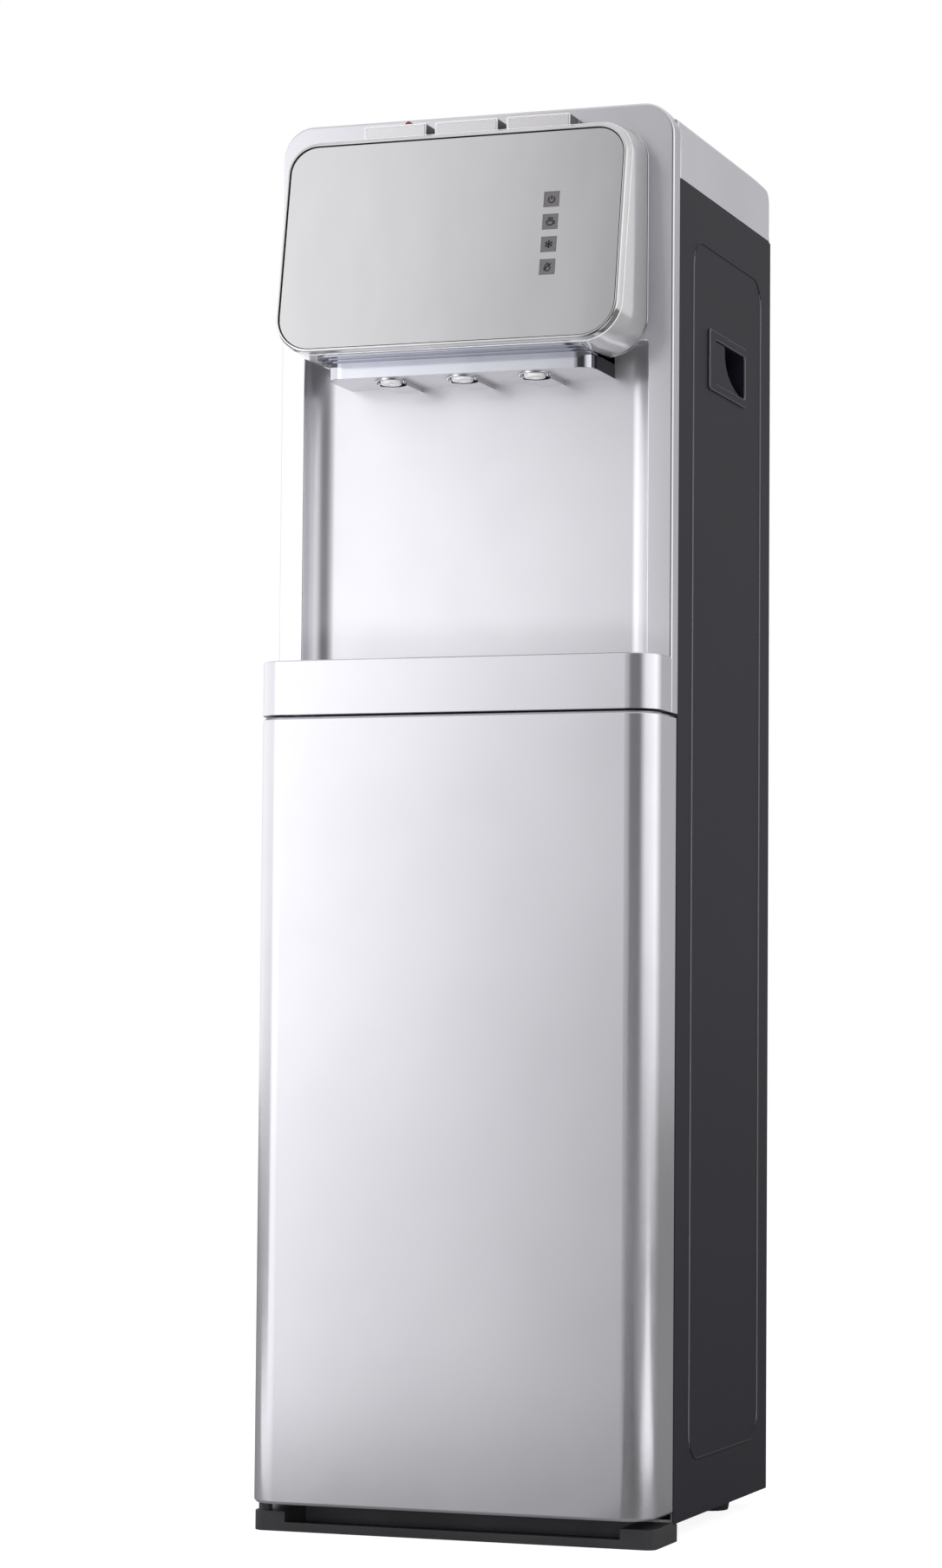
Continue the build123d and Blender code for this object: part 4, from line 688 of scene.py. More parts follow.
def face_outline(inset):
    """The face's outline, across and up the slope."""
    tall = face_length / 2
    return rounded(-face_half + inset, face_half - inset, -tall + inset, tall - inset,
                   [corner - inset for corner in face_corners], 10)


def foot_outline(inset):
    """The outline of the head's foot on the fascia, across and up."""
    left, right, low, high = foot
    return rounded(left + inset, right - inset, low + inset, high - inset,
                   [corner - inset for corner in foot_corners], 10)


def face_ring(inset, out):
    """The face's outline, drawn in by an inset and moved out of the slope."""
    return [on_face(u, v, out) for u, v in face_outline(inset)]


def head_outlines(inset):
    """The head's outline at its face and at its foot, as pairs of places."""
    return [(Vector(on_face(u, v)), Vector((x, front, z)))
            for (u, v), (x, z) in zip(face_outline(inset), foot_outline(inset))]


def head_ring(back, inset=0.0, share=None):
    """The head's outline, a distance or a share of its depth behind its face."""
    bulge_lean = 0.8
    ring = []
    for (tip, root), (tip_in, root_in) in zip(head_outlines(inset), head_outlines(inset + 1.0)):
        part = share if share is not None else back / (tip - root).dot(face_out)
        swell = flank_bulge * math.sin(math.pi * min(part, 1.0) ** bulge_lean)
        place = tip.lerp(root, part) + (tip - tip_in).lerp(root - root_in, part) * swell
        ring.append(tuple(place))
    return ring


def head_shell():
    """The head's housing, with openings for the buttons and the tap bar."""
    play, bar_play = 0.5, 0.2
    rings = [head_ring(None, share=1.0 - 0.1 * step) for step in range(7)]
    rings += [head_ring(trim_seam + away, inset) for away, inset in seam_edge]
    rings.append(head_ring(None, head_wall, share=1.0))
    cuts = []
    for low, high in map(span, button_nodes):
        cuts.append(brick((low.x - play, high.x + play), (low.y - play, front + 1),
                          (high.z - 25, high.z + 5)))
    cuts.append(brick((bar_low.x - bar_play, bar_high.x + bar_play),
                      (bar_low.y - bar_play, front + 1), (bar_low.z - 5, bar_high.z + 0.4)))
    hold(made("head_shell", loft(rings, wrapped=True), cuts), "cabinet", "silver_gloss",
         ("head_housing",))


def head_lines():
    """The plated bead round the head's foot, and the white line in its seam, a painted highlight.
    """
    bead_radius, bead_play, line_radius, line_sunk = 0.9, 0.3, 0.5, 0.2
    sill = foot[2]
    bead = tube(facing(foot_outline(0.0), front - 0.5), bead_radius, 8, closed=True)
    gate = brick((bar_low.x - bead_play, bar_high.x + bead_play), (front - 3, front + 3),
                 (sill - 3, sill + 3))
    hold(made("head_bead", bead, [gate]), "cabinet", "trim_chrome")
    # a white tube along the seam: a painted highlight line
    line = tube(head_ring(trim_seam, line_sunk), line_radius, 6, closed=True)
    hold(made("head_seam_line", line), "cabinet", "rim_bright")


def stem_shelf():
    """The shelf under the buttons, which guides their stems."""
    low, high = span(button_nodes[-1])
    top, thick, hole = high.z - 29, 2, 2.9
    shelf = brick((-129, 129), (low.y - 5, front), (top - thick, top))
    holes = [lathe([(hole, -40), (hole, 10)], ((a.x + b.x) / 2, front - stem_depth, top), 24)
             for a, b in map(span, button_nodes)]
    hold(made("stem_shelf", shelf, holes), "cabinet", "silver_plastic")


def head_trim():
    """The plated trim round the mirror panel, black where it turns in under the panel."""
    edge, groove = 1.3, -6.5
    rings = [head_ring(trim_seam - away, inset) for away, inset in reversed(seam_edge)]
    rings += [head_ring(back, inset) for inset, back in quarter(edge, 5)]
    rings += [face_ring(trim_lip + 0.2, -0.1), face_ring(trim_lip + 0.3, -0.4),
              face_ring(trim_lip + 0.3, groove)]
    trim = made("head_trim", loft(rings, wrapped=True))
    hold(trim, "cabinet", "trim_chrome", ("head_bezel",))
    paint(trim, "sign_black", lambda centre, normal: (centre - face_middle).dot(face_out) < -0.45
          and (centre - face_middle).dot(normal) < -20)


# The lamp windows, from the bottom one up
lens_low, lens_high = span("indicator_lenses")
lens_x, lens_pitch, lens_count = (lens_low.x + lens_high.x) / 2, 17.5, 4
lens_rows = [(row - (lens_count - 1) / 2) * lens_pitch for row in range(lens_count)]
lens_half, lens_hole, lens_sunk = 5.9, 6.0, 1.1


def head_mirror():
    """The mirror panel in its trim, with square holes for the lamp windows."""
    gap, sunk, edge = 0.9, 1.1, 0.5
    rings = [face_ring(trim_lip + gap, -5.0)]
    rings += [face_ring(trim_lip + gap + inset, -sunk - back) for inset, back in quarter(edge, 3)]
    holes = []
    for v in lens_rows:
        corners = [(lens_x - lens_hole, v - lens_hole), (lens_x + lens_hole, v - lens_hole),
                   (lens_x + lens_hole, v + lens_hole), (lens_x - lens_hole, v + lens_hole)]
        holes.append(loft([[on_face(a, b, out) for a, b in corners] for out in (-6.0, 2.0)]))
    hold(made("head_mirror", loft(rings), holes), "cabinet", "mirror_panel",
         stands_for=("head_panel",))


def lamp_windows():
    """The four grey lamp windows, flush with the mirror."""
    corner, edge, back_face = 0.4, 0.25, -4.0

    def ring(v, inset, out):
        points = rounded(lens_x - lens_half + inset, lens_x + lens_half - inset,
                         v - lens_half + inset, v + lens_half - inset, (corner,) * 4, 3)
        return [on_face(a, b, out) for a, b in points]

    shapes = []
    for v in lens_rows:
        rings = [ring(v, 0.0, back_face)]
        rings += [ring(v, inset, -lens_sunk - back) for inset, back in quarter(edge, 2)]
        shapes.append(loft(rings))
    hold(made("lamp_windows", joined(*shapes)), "cabinet", "lens_grey",
         stands_for=("indicator_lenses",))


def stroke(path, width, row):
    """A raised line of a sign, drawn on a lamp window."""
    root, top = -1.3, -lens_sunk + 0.12
    points = [Vector((u, v)) for u, v in path]
    rings = []
    for step, point in enumerate(points):
        before = points[max(step - 1, 0)]
        after = points[min(step + 1, len(points) - 1)]
        ahead = (after - before).normalized()
        side = Vector((-ahead.y, ahead.x)) * width / 2
        left, right = point + side, point - side
        rings.append([on_face(lens_x + edge.x, row + edge.y, out) for edge, out in
                      ((left, root), (right, root), (right, top), (left, top))])
    return loft(rings)


def arc(centre, radius, start, end, steps=8):
    """Points of an arc in a plane, as pairs; its start and end are in degrees."""
    turns = [math.radians(start + (end - start) * step / steps) for step in range(steps + 1)]
    return [(centre[0] + radius * math.cos(turn), centre[1] + radius * math.sin(turn))
            for turn in turns]


def lamp_signs():
    """Plain signs on the lamp windows: on, hot, cold and out of water."""
    width = 1.0
    ring_and_bar = [arc((0, -0.3), 2.4, 125, 415, 20), [(0, 3.0), (0, -0.2)]]
    cup = [(-2.6, 0.6), (-2.4, -1.6), (-1.5, -2.6), (1.2, -2.6), (2.0, -1.6), (2.2, 0.6),
           (-2.6, 0.6)]
    steam = [[(x, 1.4), (x + 0.45, 2.1), (x, 2.7), (x + 0.45, 3.3)] for x in (-1.5, -0.2, 1.1)]
    hot_cup = [cup, arc((2.2, -0.7), 1.1, 80, -85, 8)] + steam
    flake = [[(-3.0 * math.cos(t), -3.0 * math.sin(t)), (3.0 * math.cos(t), 3.0 * math.sin(t))]
             for t in (math.pi / 2, math.pi / 6, -math.pi / 6)]
    for arm in range(6):
        t = math.pi / 6 + math.pi / 3 * arm
        for bend in (0.7, -0.7):
            flake.append([(2.0 * math.cos(t) + 0.9 * math.cos(t + bend),
                           2.0 * math.sin(t) + 0.9 * math.sin(t + bend)),
                          (1.7 * math.cos(t), 1.7 * math.sin(t))])
    drop = [(0.0, 3.1), (1.0, 1.5), (2.0, 0.0), (2.25, -1.2), (1.6, -2.5), (0.0, -3.1),
            (-1.6, -2.5), (-2.25, -1.2), (-2.0, 0.0), (-1.0, 1.5)]
    crossed_drop = [drop + drop[:1], [(-2.7, -2.6), (2.7, 2.6)]]
    shapes = []
    for row, paths in ((3, ring_and_bar), (2, hot_cup), (1, flake), (0, crossed_drop)):
        shapes += [stroke(path, width, lens_rows[row]) for path in paths]
    hold(made("lamp_signs", joined(*shapes), weighted=False), "cabinet", "sign_black")


# ---------------------------------------------------------------- buttons
def button(node):
    """A push button: a soft-edged cap with a slightly sunk front, and its stem."""
    low, high = span(node)
    cap_height, edge, foot_corner, top_corner, cap_wall = 21.5, 1.1, 0.4, 1.2, 2
    cap_low = high.z - cap_height

    def ring(inset, y):
        top = max(top_corner - inset, 0.3)
        return facing(rounded(low.x + inset, high.x - inset, cap_low + inset * 0.4,
                              high.z - inset, (foot_corner, foot_corner, top, top), 3), y)

    rings = [ring(0.5, high.y), ring(0.0, high.y - 0.5)]
    rings += [ring(inset, low.y + back) for inset, back in quarter(edge, 4)]
    rings += [ring(edge + 0.7, low.y), ring(edge + 0.95, low.y + 0.35)]
    cuts = [brick((low.x + cap_wall, high.x - cap_wall), (low.y + cap_wall, high.y - cap_wall),
                  (cap_low - cap_wall, high.z - 2.2))]
    if node == "hot_button":
        lock_low, lock_high = span("child_lock")
        cuts.append(brick((lock_low.x + 1.2, lock_high.x - 1.2),
                          (lock_low.y - 0.5, lock_high.y + 3.5), (high.z - 4, high.z + 2)))
    cap = made(node + "_cap", loft(rings), cuts)
    hold(cap, node, "button_silver", (node,))
    # the caps' sides are painted dark grey: painted shade in the gaps between the buttons
    paint(cap, "button_side",
          lambda centre, normal: abs(normal.x) > 0.9 and centre.y > low.y + edge)
    # the caps' rounded front edges are painted white: a painted highlight outline
    paint(cap, "rim_bright",
          lambda centre, normal: centre.y < low.y + edge and -0.97 < normal.y < -0.1)
    stem_x = (low.x + high.x) / 2
    stem = lathe([(2.2, low.z), (2.5, low.z + 0.4), (2.5, high.z - 2.1)],
                 (stem_x, front - stem_depth, 0), 20)
    hold(made(node + "_stem", stem), node, "white_plastic")


def lock():
    """The red child lock: a slider with a soft top, its neck and the wings that hold it."""
    low, high = span("child_lock")
    cap_height, wing, neck_side, neck_end, neck_height, corner = 3.0, 1.5, 1.6, 0.3, 2.4, 0.5
    top = high.z
    cap = top - cap_height
    rings = []
    for inset, z in ((0.0, cap - 0.4), (0.0, cap + 0.5), (0.5, cap + 1.1), (1.2, top - 0.9),
                     (2.0, top - 0.2), (2.5, top)):
        points = rounded(low.x + wing + inset, high.x - wing - inset, low.y + inset * 0.5,
                         high.y - inset * 0.5, (corner,) * 4, 3)
        rings.append([(u, v, z) for u, v in points])
    neck = brick((low.x + neck_side, high.x - neck_side), (low.y + neck_end, high.y - neck_end),
                 (cap - neck_height, cap - 0.3))
    wings = brick((low.x, high.x), (low.y, high.y), (low.z, cap - 2.3))
    hold(made("lock_slider", joined(loft(rings), neck, wings)), "child_lock", "lock_red",
         stands_for=("child_lock",))


def shortened(piece):
    """Gives an upright soft piece a mesh of its own."""
    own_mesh(piece)


def spring(node):
    """A return spring round a button's stem."""
    low, high = span(node)
    centre = (low + high) / 2
    turns, wire, steps_a_turn, travel = 7, 0.55, 18, 4.5
    steps = turns * steps_a_turn
    reach = (high.x - low.x) / 2 - wire
    points = []
    for step in range(steps + 1):
        turn = 2 * math.pi * turns * step / steps
        points.append((centre.x + reach * math.cos(turn), centre.y + reach * math.sin(turn),
                       low.z + wire + (high.z - low.z - 2 * wire) * step / steps))
    coil = made(node + "_coil", tube(points, wire, 8), weighted=False)
    hold(coil, "cabinet", "zinc_sheet", stands_for=(node,))
    shortened(coil)


def probe_line():
    """The corrugated hose from the bottle probe up to the deck."""
    low, high = span("probe_hose")
    centre = (low + high) / 2
    reach, ribs, cuff, travel = (high.x - low.x) / 2, 24, 3.0, 20.0
    cuff_reach, groove_reach = reach - 0.6, reach - 0.9
    pitch = (high.z - low.z - 2 * cuff) / ribs
    outline = [(cuff_reach, low.z), (cuff_reach, low.z + cuff)]
    for rib in range(ribs):
        start = low.z + cuff + rib * pitch
        outline += [(groove_reach, start + pitch * 0.15), (reach, start + pitch * 0.4),
                    (reach, start + pitch * 0.6), (groove_reach, start + pitch * 0.85)]
    outline += [(cuff_reach, high.z - cuff), (cuff_reach, high.z)]
    hose = made("probe_hose_ribbed", lathe(outline, (centre.x, centre.y, 0), 32), weighted=False)
    hold(hose, "cabinet", "clear_hose", stands_for=("probe_hose",))
    shortened(hose)


# ---------------------------------------------------------------- taps
nozzle_low, nozzle_high = span("tap_nozzles")
tap_y = (nozzle_low.y + nozzle_high.y) / 2 - 2.5
tap_shift, tap_pitch = -1.5, 56.5
tap_xs = [place + tap_shift for place in (-tap_pitch, 0.0, tap_pitch)]


def tap_bar():
    """The plated tap housing with a matt silver underside, and the ledges above it."""
    low, high = bar_low, bar_high
    corner, shell, tap_hole = 14.0, 5, 9.6

    def ring(z, inset, ahead=0.0):
        points = rounded(low.x + inset, high.x - inset, low.y + inset - ahead, high.y,
                         (corner - inset, corner - inset, 0, 0), 8)
        return [(u, v, z) for u, v in points]

    rings = [ring(low.z, 0.5), ring(low.z + 0.15, 0.15), ring(low.z + 0.5, 0.0),
             ring(high.z, 0.0)]
    cuts = [brick((low.x + shell, high.x - shell), (low.y + shell, high.y + 1),
                  (low.z + 2.5, high.z + 1))]
    cuts += [lathe([(tap_hole, -3), (tap_hole, 5)], (x, tap_y, low.z), 40) for x in tap_xs]
    bar = made("tap_bar", loft(rings), cuts)
    hold(bar, "cabinet", "chrome_plastic", stands_for=("tap_housing",))
    paint(bar, "silver_matt", lambda centre, normal: normal.z < -0.5 and centre.z < low.z + 2)
    # the bar's rounded ends are painted dark chrome: painted shade
    paint(bar, "chrome_shade", lambda centre, normal: abs(normal.x) > 0.86)
    # three ledges climb forward from the bar to the head's lower edge; their darker, bluer chrome
    # is painted shade from the head above
    ledge_top, soft_edge = 869.0, 0.25
    ledges = []
    for base, ahead in ((863.4, 9.5), (864.2, 18.5), (865.0, 26.8)):
        ledges.append(loft([ring(base, 0.3, ahead), ring(base + soft_edge, 0.0, ahead),
                            ring(ledge_top, 0.0, ahead)]))
    hold(made("tap_bar_ledges", joined(*ledges)), "cabinet", "chrome_upper")


def taps():
    """White nozzles, black rings of painted shade round them, plated collars with two lugs, silver
    blocks.
    """
    base = bar_low.z
    nozzle = [(3.4, 2.4), (3.4, -3.4), (3.8, -3.8), (6.2, -3.8), (7.2, -3.6), (7.9, -3.1),
              (8.2, -2.4), (8.3, -1.6), (8.3, 2.4)]
    # a black ring in the gap round each nozzle: painted shade
    gap_shade_ring = [(9.58, 0.2), (8.52, 0.2), (8.52, 2.4), (9.58, 2.4)]
    bead_middle, bead_half = (10.6, -0.75), (0.9, 0.85)
    collar = [(9.7, 0.0)]
    collar += [(bead_middle[0] + bead_half[0] * math.cos(turn),
                bead_middle[1] + bead_half[1] * math.sin(turn))
               for turn in (math.radians(180 + 30 * step) for step in range(7))]
    collar += [(11.5, 0.0)]
    lug = [(0.02, -3.1), (0.9, -3.0), (1.5, -2.5), (1.75, -1.7), (1.75, -0.2)]
    lug_reach, lug_ahead = 10.9, 1.0
    block_half, block_height, nose, nose_squeeze, nose_root = 10.5, 3.4, 11.8, 0.985, 4.3
    nozzles, gap_shade_rings, collars, blocks = [], [], [], []
    for x in tap_xs:
        centre = (x, tap_y, base)
        nozzles.append(lathe(nozzle, centre, 48, True))
        gap_shade_rings.append(lathe(gap_shade_ring, centre, 40, True))
        collars.append(lathe(collar, centre, 48, True))
        for side in (-1, 1):
            collars.append(lathe(lug, (x + side * lug_reach, tap_y - lug_ahead, base), 16))
        left, right, deep = x - block_half, x + block_half, bar_high.y
        plan = [(right, deep), (left, deep), (left, tap_y + nose_root)]
        for step in range(13):
            turn = math.radians(157 - 134 * step / 12)
            plan.append((x + nose * math.cos(turn) * nose_squeeze, tap_y + nose * math.sin(turn)))
        plan.append((right, tap_y + nose_root))
        blocks.append(loft([[(u, v, z) for u, v in plan] for z in (base - block_height, base)]))
    tips = made("tap_nozzle_tips", joined(*nozzles))
    hold(tips, "cabinet", "nozzle_white", ("tap_nozzles",))
    # the nozzles' undersides are painted brighter: painted light from below
    paint(tips, "nozzle_pearl", lambda centre, normal: normal.z < -0.3)
    hold(made("tap_gap_shade", joined(*gap_shade_rings)), "cabinet", "matte_black")
    hold(made("tap_collars", joined(*collars)), "cabinet", "chrome_ring",
         stands_for=("nozzle_collars",))
    hold(made("tap_carriers", joined(*blocks), round_edge=0.45), "cabinet", "silver_matt",
         ("tap_blocks",))


# ---------------------------------------------------------------- side panels and handles
def side_ring(side, box, inset, x, radius, steps):
    """A rounded outline on a side of the machine, drawn in by an inset."""
    left, right, bottom, top = box
    points = rounded(left + inset, right - inset, bottom + inset, top - inset,
                     (radius,) * 4, steps)
    return [(side * x, u, v) for u, v in points]


def side_panel(side):
    """A charcoal side: flat, with one raised bead round its field and the hole for its handle."""
    node = ("left" if side < 0 else "right") + "_side_panel"
    low, high = span(node)
    raised, skin, field_corner, lap = 0.8, 0.9, 22.0, 3
    field_front, field_back, field_foot, field_head = 38.0, 30.0, 42.0, 38.0
    outer = half + raised
    cup_low, cup_high = span(node.replace("side_panel", "handle_cup"))
    edge = (low.y, high.y, low.z, high.z - 0.4)
    field = (low.y + field_front, high.y - field_back, low.z + field_foot, high.z - field_head)

    def ring(box, inset, x, radius):
        return side_ring(side, box, inset, x, radius, 8)

    rings = [ring(edge, 0.9, half - skin, 0.0), ring(edge, 0.0, half - skin, 0.0),
             ring(edge, 0.0, half - 0.7, 0.6), ring(edge, 0.25, half - 0.2, 0.8),
             ring(edge, 0.8, half, 1.0)]
    for inset, rise in ((-1.3, 0.0), (-0.8, 0.3), (-0.3, 0.9), (0.3, 0.9), (0.8, 0.3), (1.3, 0.0)):
        rings.append(ring(field, inset, half + raised * rise, field_corner - inset))
    hole = brick(sorted((side * (outer - 9), side * (outer + 2))),
                 (cup_low.y + lap, cup_high.y - lap), (cup_low.z + lap, cup_high.z - lap))
    panel = made(node + "_pressed", loft(rings), [hole])
    hold(panel, "cabinet", "charcoal_paint", stands_for=(node,))
    # the bead's front slopes are painted lighter: a painted highlight line
    paint(panel, "charcoal_edge", lambda centre, normal: normal.y < -0.3
          and abs(normal.z) < 0.25 and abs(centre.x) > half + 0.05)


def handle_cup(side):
    """A satin black cup: soft flange, deep pocket and a curved ramp for the fingers."""
    node = ("left" if side < 0 else "right") + "_handle_cup"
    low, high = span(node)
    rim_front, rim_back, rim_end = 15.0, 4.0, 6.7
    flange = (low.y, high.y, low.z, high.z)
    hole = (low.y + rim_front, high.y - rim_back, low.z + rim_end, high.z - rim_end)
    outer, seat, deep, cup_wall = half + 2.0, half - 0.2, half - 27.0, 1.6
    corner, mouth_corner, flange_edge, mouth_edge = 4.0, 3.0, 1.3, 1.4

    def ring(box, inset, x, radius):
        return side_ring(side, box, inset, x, max(radius - inset, 0.3), 6)

    rings = [ring(hole, 0.5 - cup_wall, deep - cup_wall, corner),
             ring(hole, -cup_wall, deep, corner), ring(hole, -cup_wall, seat, corner),
             ring(flange, 0.2, seat, corner)]
    rings += [ring(flange, inset, outer - back, corner) for inset, back in quarter(flange_edge)]
    rings += [ring(hole, -inset, outer - back, mouth_corner)
              for inset, back in reversed(quarter(mouth_edge))]
    rings += [ring(hole, inset, deep + rise, mouth_corner)
              for inset, rise in ((0.0, 2.0), (0.6, 0.6), (2.0, 0.0))]
    cup = made(node + "_moulded", loft(rings))
    hold(cup, "cabinet", "cup_black", (node,))
    # the flange's rounded edges are painted lighter: painted highlight lines
    paint(cup, "cup_edge", lambda centre, normal: 0.15 < abs(normal.x) < 0.92
          and abs(centre.x) > half + 0.8)
    # the ramp fills the front of the pocket, nearly flush with the panel
    left, right, bottom, top = hole
    let_in, proud = 0.5, 0.5
    curve = [(left + (right - left) * across, bottom + (top - bottom) * up)
             for across, up in ((0.90, 0.0), (0.72, 0.10), (0.58, 0.22), (0.47, 0.37),
                                (0.40, 0.54), (0.37, 0.72), (0.36, 1.0))]
    plan = [(left - let_in, top), (left - let_in, bottom)] + curve
    ramp = loft([[(side * x, u, v) for u, v in plan] for x in (deep - let_in, half + proud)])
    ramp = made(node + "_ramp", ramp, round_edge=1.0, steps=3, limit=40.0)
    hold(ramp, "cabinet", "cup_black")
    # the ramp's curved front edge is painted lighter: a painted highlight
    paint(ramp, "cup_edge", lambda centre, normal: normal.y > 0.1
          and 0.1 < abs(normal.x) < 0.95 and centre.z < top - 12)


# ---------------------------------------------------------------- behind the machine
def condenser():
    """The serpentine tube, with a fence of wires welded to both its sides."""
    low, high = span("condenser_tube")
    wires_low, wires_high = span("condenser_wires")
    passes, pitch, radius, tail_bend, tail_room = 9, 33.0, 2.4, 9.0, 10.0
    wire, wire_pitch, wires_a_side = 0.8, 14.0, 8
    y = (wires_low.y + wires_high.y) / 2
    bottom = (low.z + high.z) / 2 - pitch * (passes - 1) / 2
    tail_x = high.x - radius
    reach = tail_x - tail_bend - tail_room
    path = [(-tail_x, low.y, bottom)]
    path += [(u, v, bottom)
             for u, v in arc((-tail_x + tail_bend, y - tail_bend), tail_bend, 180, 90)]
    for run in range(passes - 1):
        way = 1 if run % 2 == 0 else -1
        level = bottom + pitch * run
        path += [(way * (reach + u), y, level + pitch / 2 + v)
                 for u, v in arc((0, 0), pitch / 2, -90, 90, 14)]
    level = bottom + pitch * (passes - 1)
    path += [(u, v, level)
             for u, v in arc((tail_x - tail_bend, y - tail_bend), tail_bend, 90, 0)]
    path += [(tail_x, low.y, level)]
    hold(made("condenser_coil", tube(path, radius, 14)), "cabinet", "black_tube",
         stands_for=("condenser_tube",))
    shapes = []
    offset = (wires_high.y - wires_low.y) / 2 - wire
    rod = [(wire * 0.5, wires_low.z), (wire, wires_low.z + 0.4), (wire, wires_high.z - 0.4),
           (wire * 0.5, wires_high.z)]
    for place in range(-wires_a_side, wires_a_side + 1):
        for layer in (-offset, offset):
            shapes.append(lathe(rod, (place * wire_pitch, y + layer, 0), 8))
    hold(made("condenser_fence", joined(*shapes)), "cabinet", "black_tube",
         stands_for=("condenser_wires",))


def compressor():
    """The black can with its weld bead, mounting plate and terminal cover."""
    low, high = span("compressor")
    radius, plate, dome_rise, flat_share = 72.0, 3.0, 42.0, 0.42
    y = high.y - radius
    base = low.z + plate
    bead = base + (high.z - base) * 0.46
    profile = [(radius - 2.5, base - 0.5), (radius - 0.8, base + 0.6), (radius, base + 2.4)]
    profile += [(radius, bead - 3.0), (radius + 1.1, bead - 2.4), (radius + 1.6, bead - 0.8),
                (radius + 1.6, bead + 0.8), (radius + 1.1, bead + 2.4), (radius, bead + 3.0)]
    for step in range(13):
        turn = math.radians(90 * step / 12)
        profile.append((radius * flat_share + radius * (1 - flat_share) * math.cos(turn),
                        high.z - dome_rise + dome_rise * math.sin(turn)))
    can = lathe(profile, (0, y, 0), 64)
    hold(made("compressor_can", can), "cabinet", "can_black", stands_for=("compressor",))
    slab_half, slab_deep, slab_corner = high.x, (90.0 + 27.0) / 2, 12.0
    bolt_hole, bolt_x, bolt_y = 6.2, 85.0, 45.0
    rings = []
    for inset, z in ((0.6, low.z), (0.0, low.z + 0.6), (0.0, base - 0.6), (0.6, base)):
        points = rounded(-slab_half + inset, slab_half - inset, y - slab_deep + inset,
                         y + slab_deep - inset, (slab_corner,) * 4, 6)
        rings.append([(u, v, z) for u, v in points])
    holes = [lathe([(bolt_hole, low.z - 1), (bolt_hole, base + 1)],
                   (across * bolt_x, y + along * bolt_y, 0), 24)
             for across in (-1, 1) for along in (-1, 1)]
    hold(made("compressor_plate", loft(rings), holes), "cabinet", "can_black")
    box_half, box_low, box_high, box_corner = 25.0, low.z + 29.0, low.z + 81.0, 5.0
    box = []
    for inset, back in ((1.4, 0.0), (0.4, 0.4), (0.0, 1.4), (0.0, 30.0)):
        points = rounded(-box_half + inset, box_half - inset, box_low + inset, box_high - inset,
                         (box_corner,) * 4, 6)
        box.append(facing(points, low.y + back))
    hold(made("terminal_cover", loft(box)), "cabinet", "black_plastic")


# ---------------------------------------------------------------- top cover
def cover():
    """The top cover, a deep hollow lid that falls off a little at its back; its tongue is painted
    shadow.
    """
    low, high = span("top_cover")
    side_edge, back_corner, sag = 8.0, 10.0, 1.2
    fall_start, fall_end, fall = 60.0, 32.0, 0.3
    bottom = span("right_side_panel")[1].z + 0.2

    def profile(inset, base):
        """The lid seen from the side, drawn in by an inset."""
        top, back, face = high.z - inset, high.y - inset, low.y + max(inset - 0.6, 0.0)
        points = [(face, base), (face, top), (back - fall_start, top),
                  (back - fall_end, top - fall)]
        for step in range(9):
            turn = math.radians(84 - 84 * step / 8)
            points.append((back - back_corner + back_corner * math.cos(turn),
                           top - sag - back_corner + back_corner * math.sin(turn)))
        points.append((back, base))
        return points

    rings = []
    for back, inset in ((0.0, side_edge - 1.2), (0.6, side_edge - 4.2), (2.4, side_edge - 6.6),
                        (5.0, 0.35), (8.0, 0.0)):
        rings.append([(-half + back, u, v) for u, v in profile(inset * 0.8, bottom)])
    rings += [[(-x, u, v) for x, u, v in ring] for ring in reversed(rings)]
    room = [[(x, u, v) for u, v in profile(wall, bottom - 5)] for x in (-half + wall, half - wall)]
    lid = made("top_lid", loft(rings), [loft(room)])
    hold(lid, "cabinet", "cover_plastic", stands_for=("top_cover",))
    outer, inner = half - 1.2, half - 3.5
    tongue = brick((-outer, outer), (low.y + 0.5, high.y - 0.4), (low.z, bottom + 3))
    hollow = brick((-inner, inner), (low.y + 3, high.y - 2.7), (low.z - 1, bottom + 4))
    # the tongue is painted black: a painted shadow line under the lid's edge
    hold(made("lid_tongue_shadow", tongue, [hollow]), "cabinet", "sign_black")


fascia()
head_shell()
head_lines()
stem_shelf()
head_trim()
head_mirror()
lamp_windows()
lamp_signs()
cover()
for node in button_nodes:
    button(node)
    spring(node + "_spring")
lock()
probe_line()
tap_bar()
taps()
for side in (-1, 1):
    side_panel(side)
    handle_cup(side)
condenser()
compressor()

# ---------------------------------------------------------------- CAD parts
# Those that are rounded, with the radius of their edges
formed = {
    "door_shell": 1.2, "tray_band": 1.2, "recess_liner": 0.5, "front_skirt": 1.0,
    "rear_feet": 0.8, "drip_tray": 0.5, "drip_grille": 0.5, "door_liner": 0.5,
    "rear_panel_upper": 0.4, "rear_panel_lower": 0.4, "switch_plate": 0.5,
    "heating_switch": 0.4, "cooling_switch": 0.4, "drain_cap": 0.5, "drain_spigot": 0.4,
    "condenser_brackets": 0.3, "base_pan": 0.4, "water_pump": 0.8,
    "bottle_probe": 0.5, "probe_holder": 0.4, "door_magnet": 0.4, "door_hinge_bushes": 0.3,
    "control_board": 0.2, "tap_valves": 0.5, "filter_dryer": 0.6, "compressor_grommets": 1.0,
}
dressed = {"recess_liner": "silver_recess"}
for node, edge in formed.items():
    refined(node, edge, dressed.get(node))
for node, form in nodes.items():
    if node not in stood_for:
        form.data.materials.clear()
        form.data.materials.append(finishes[node_slot[node]])


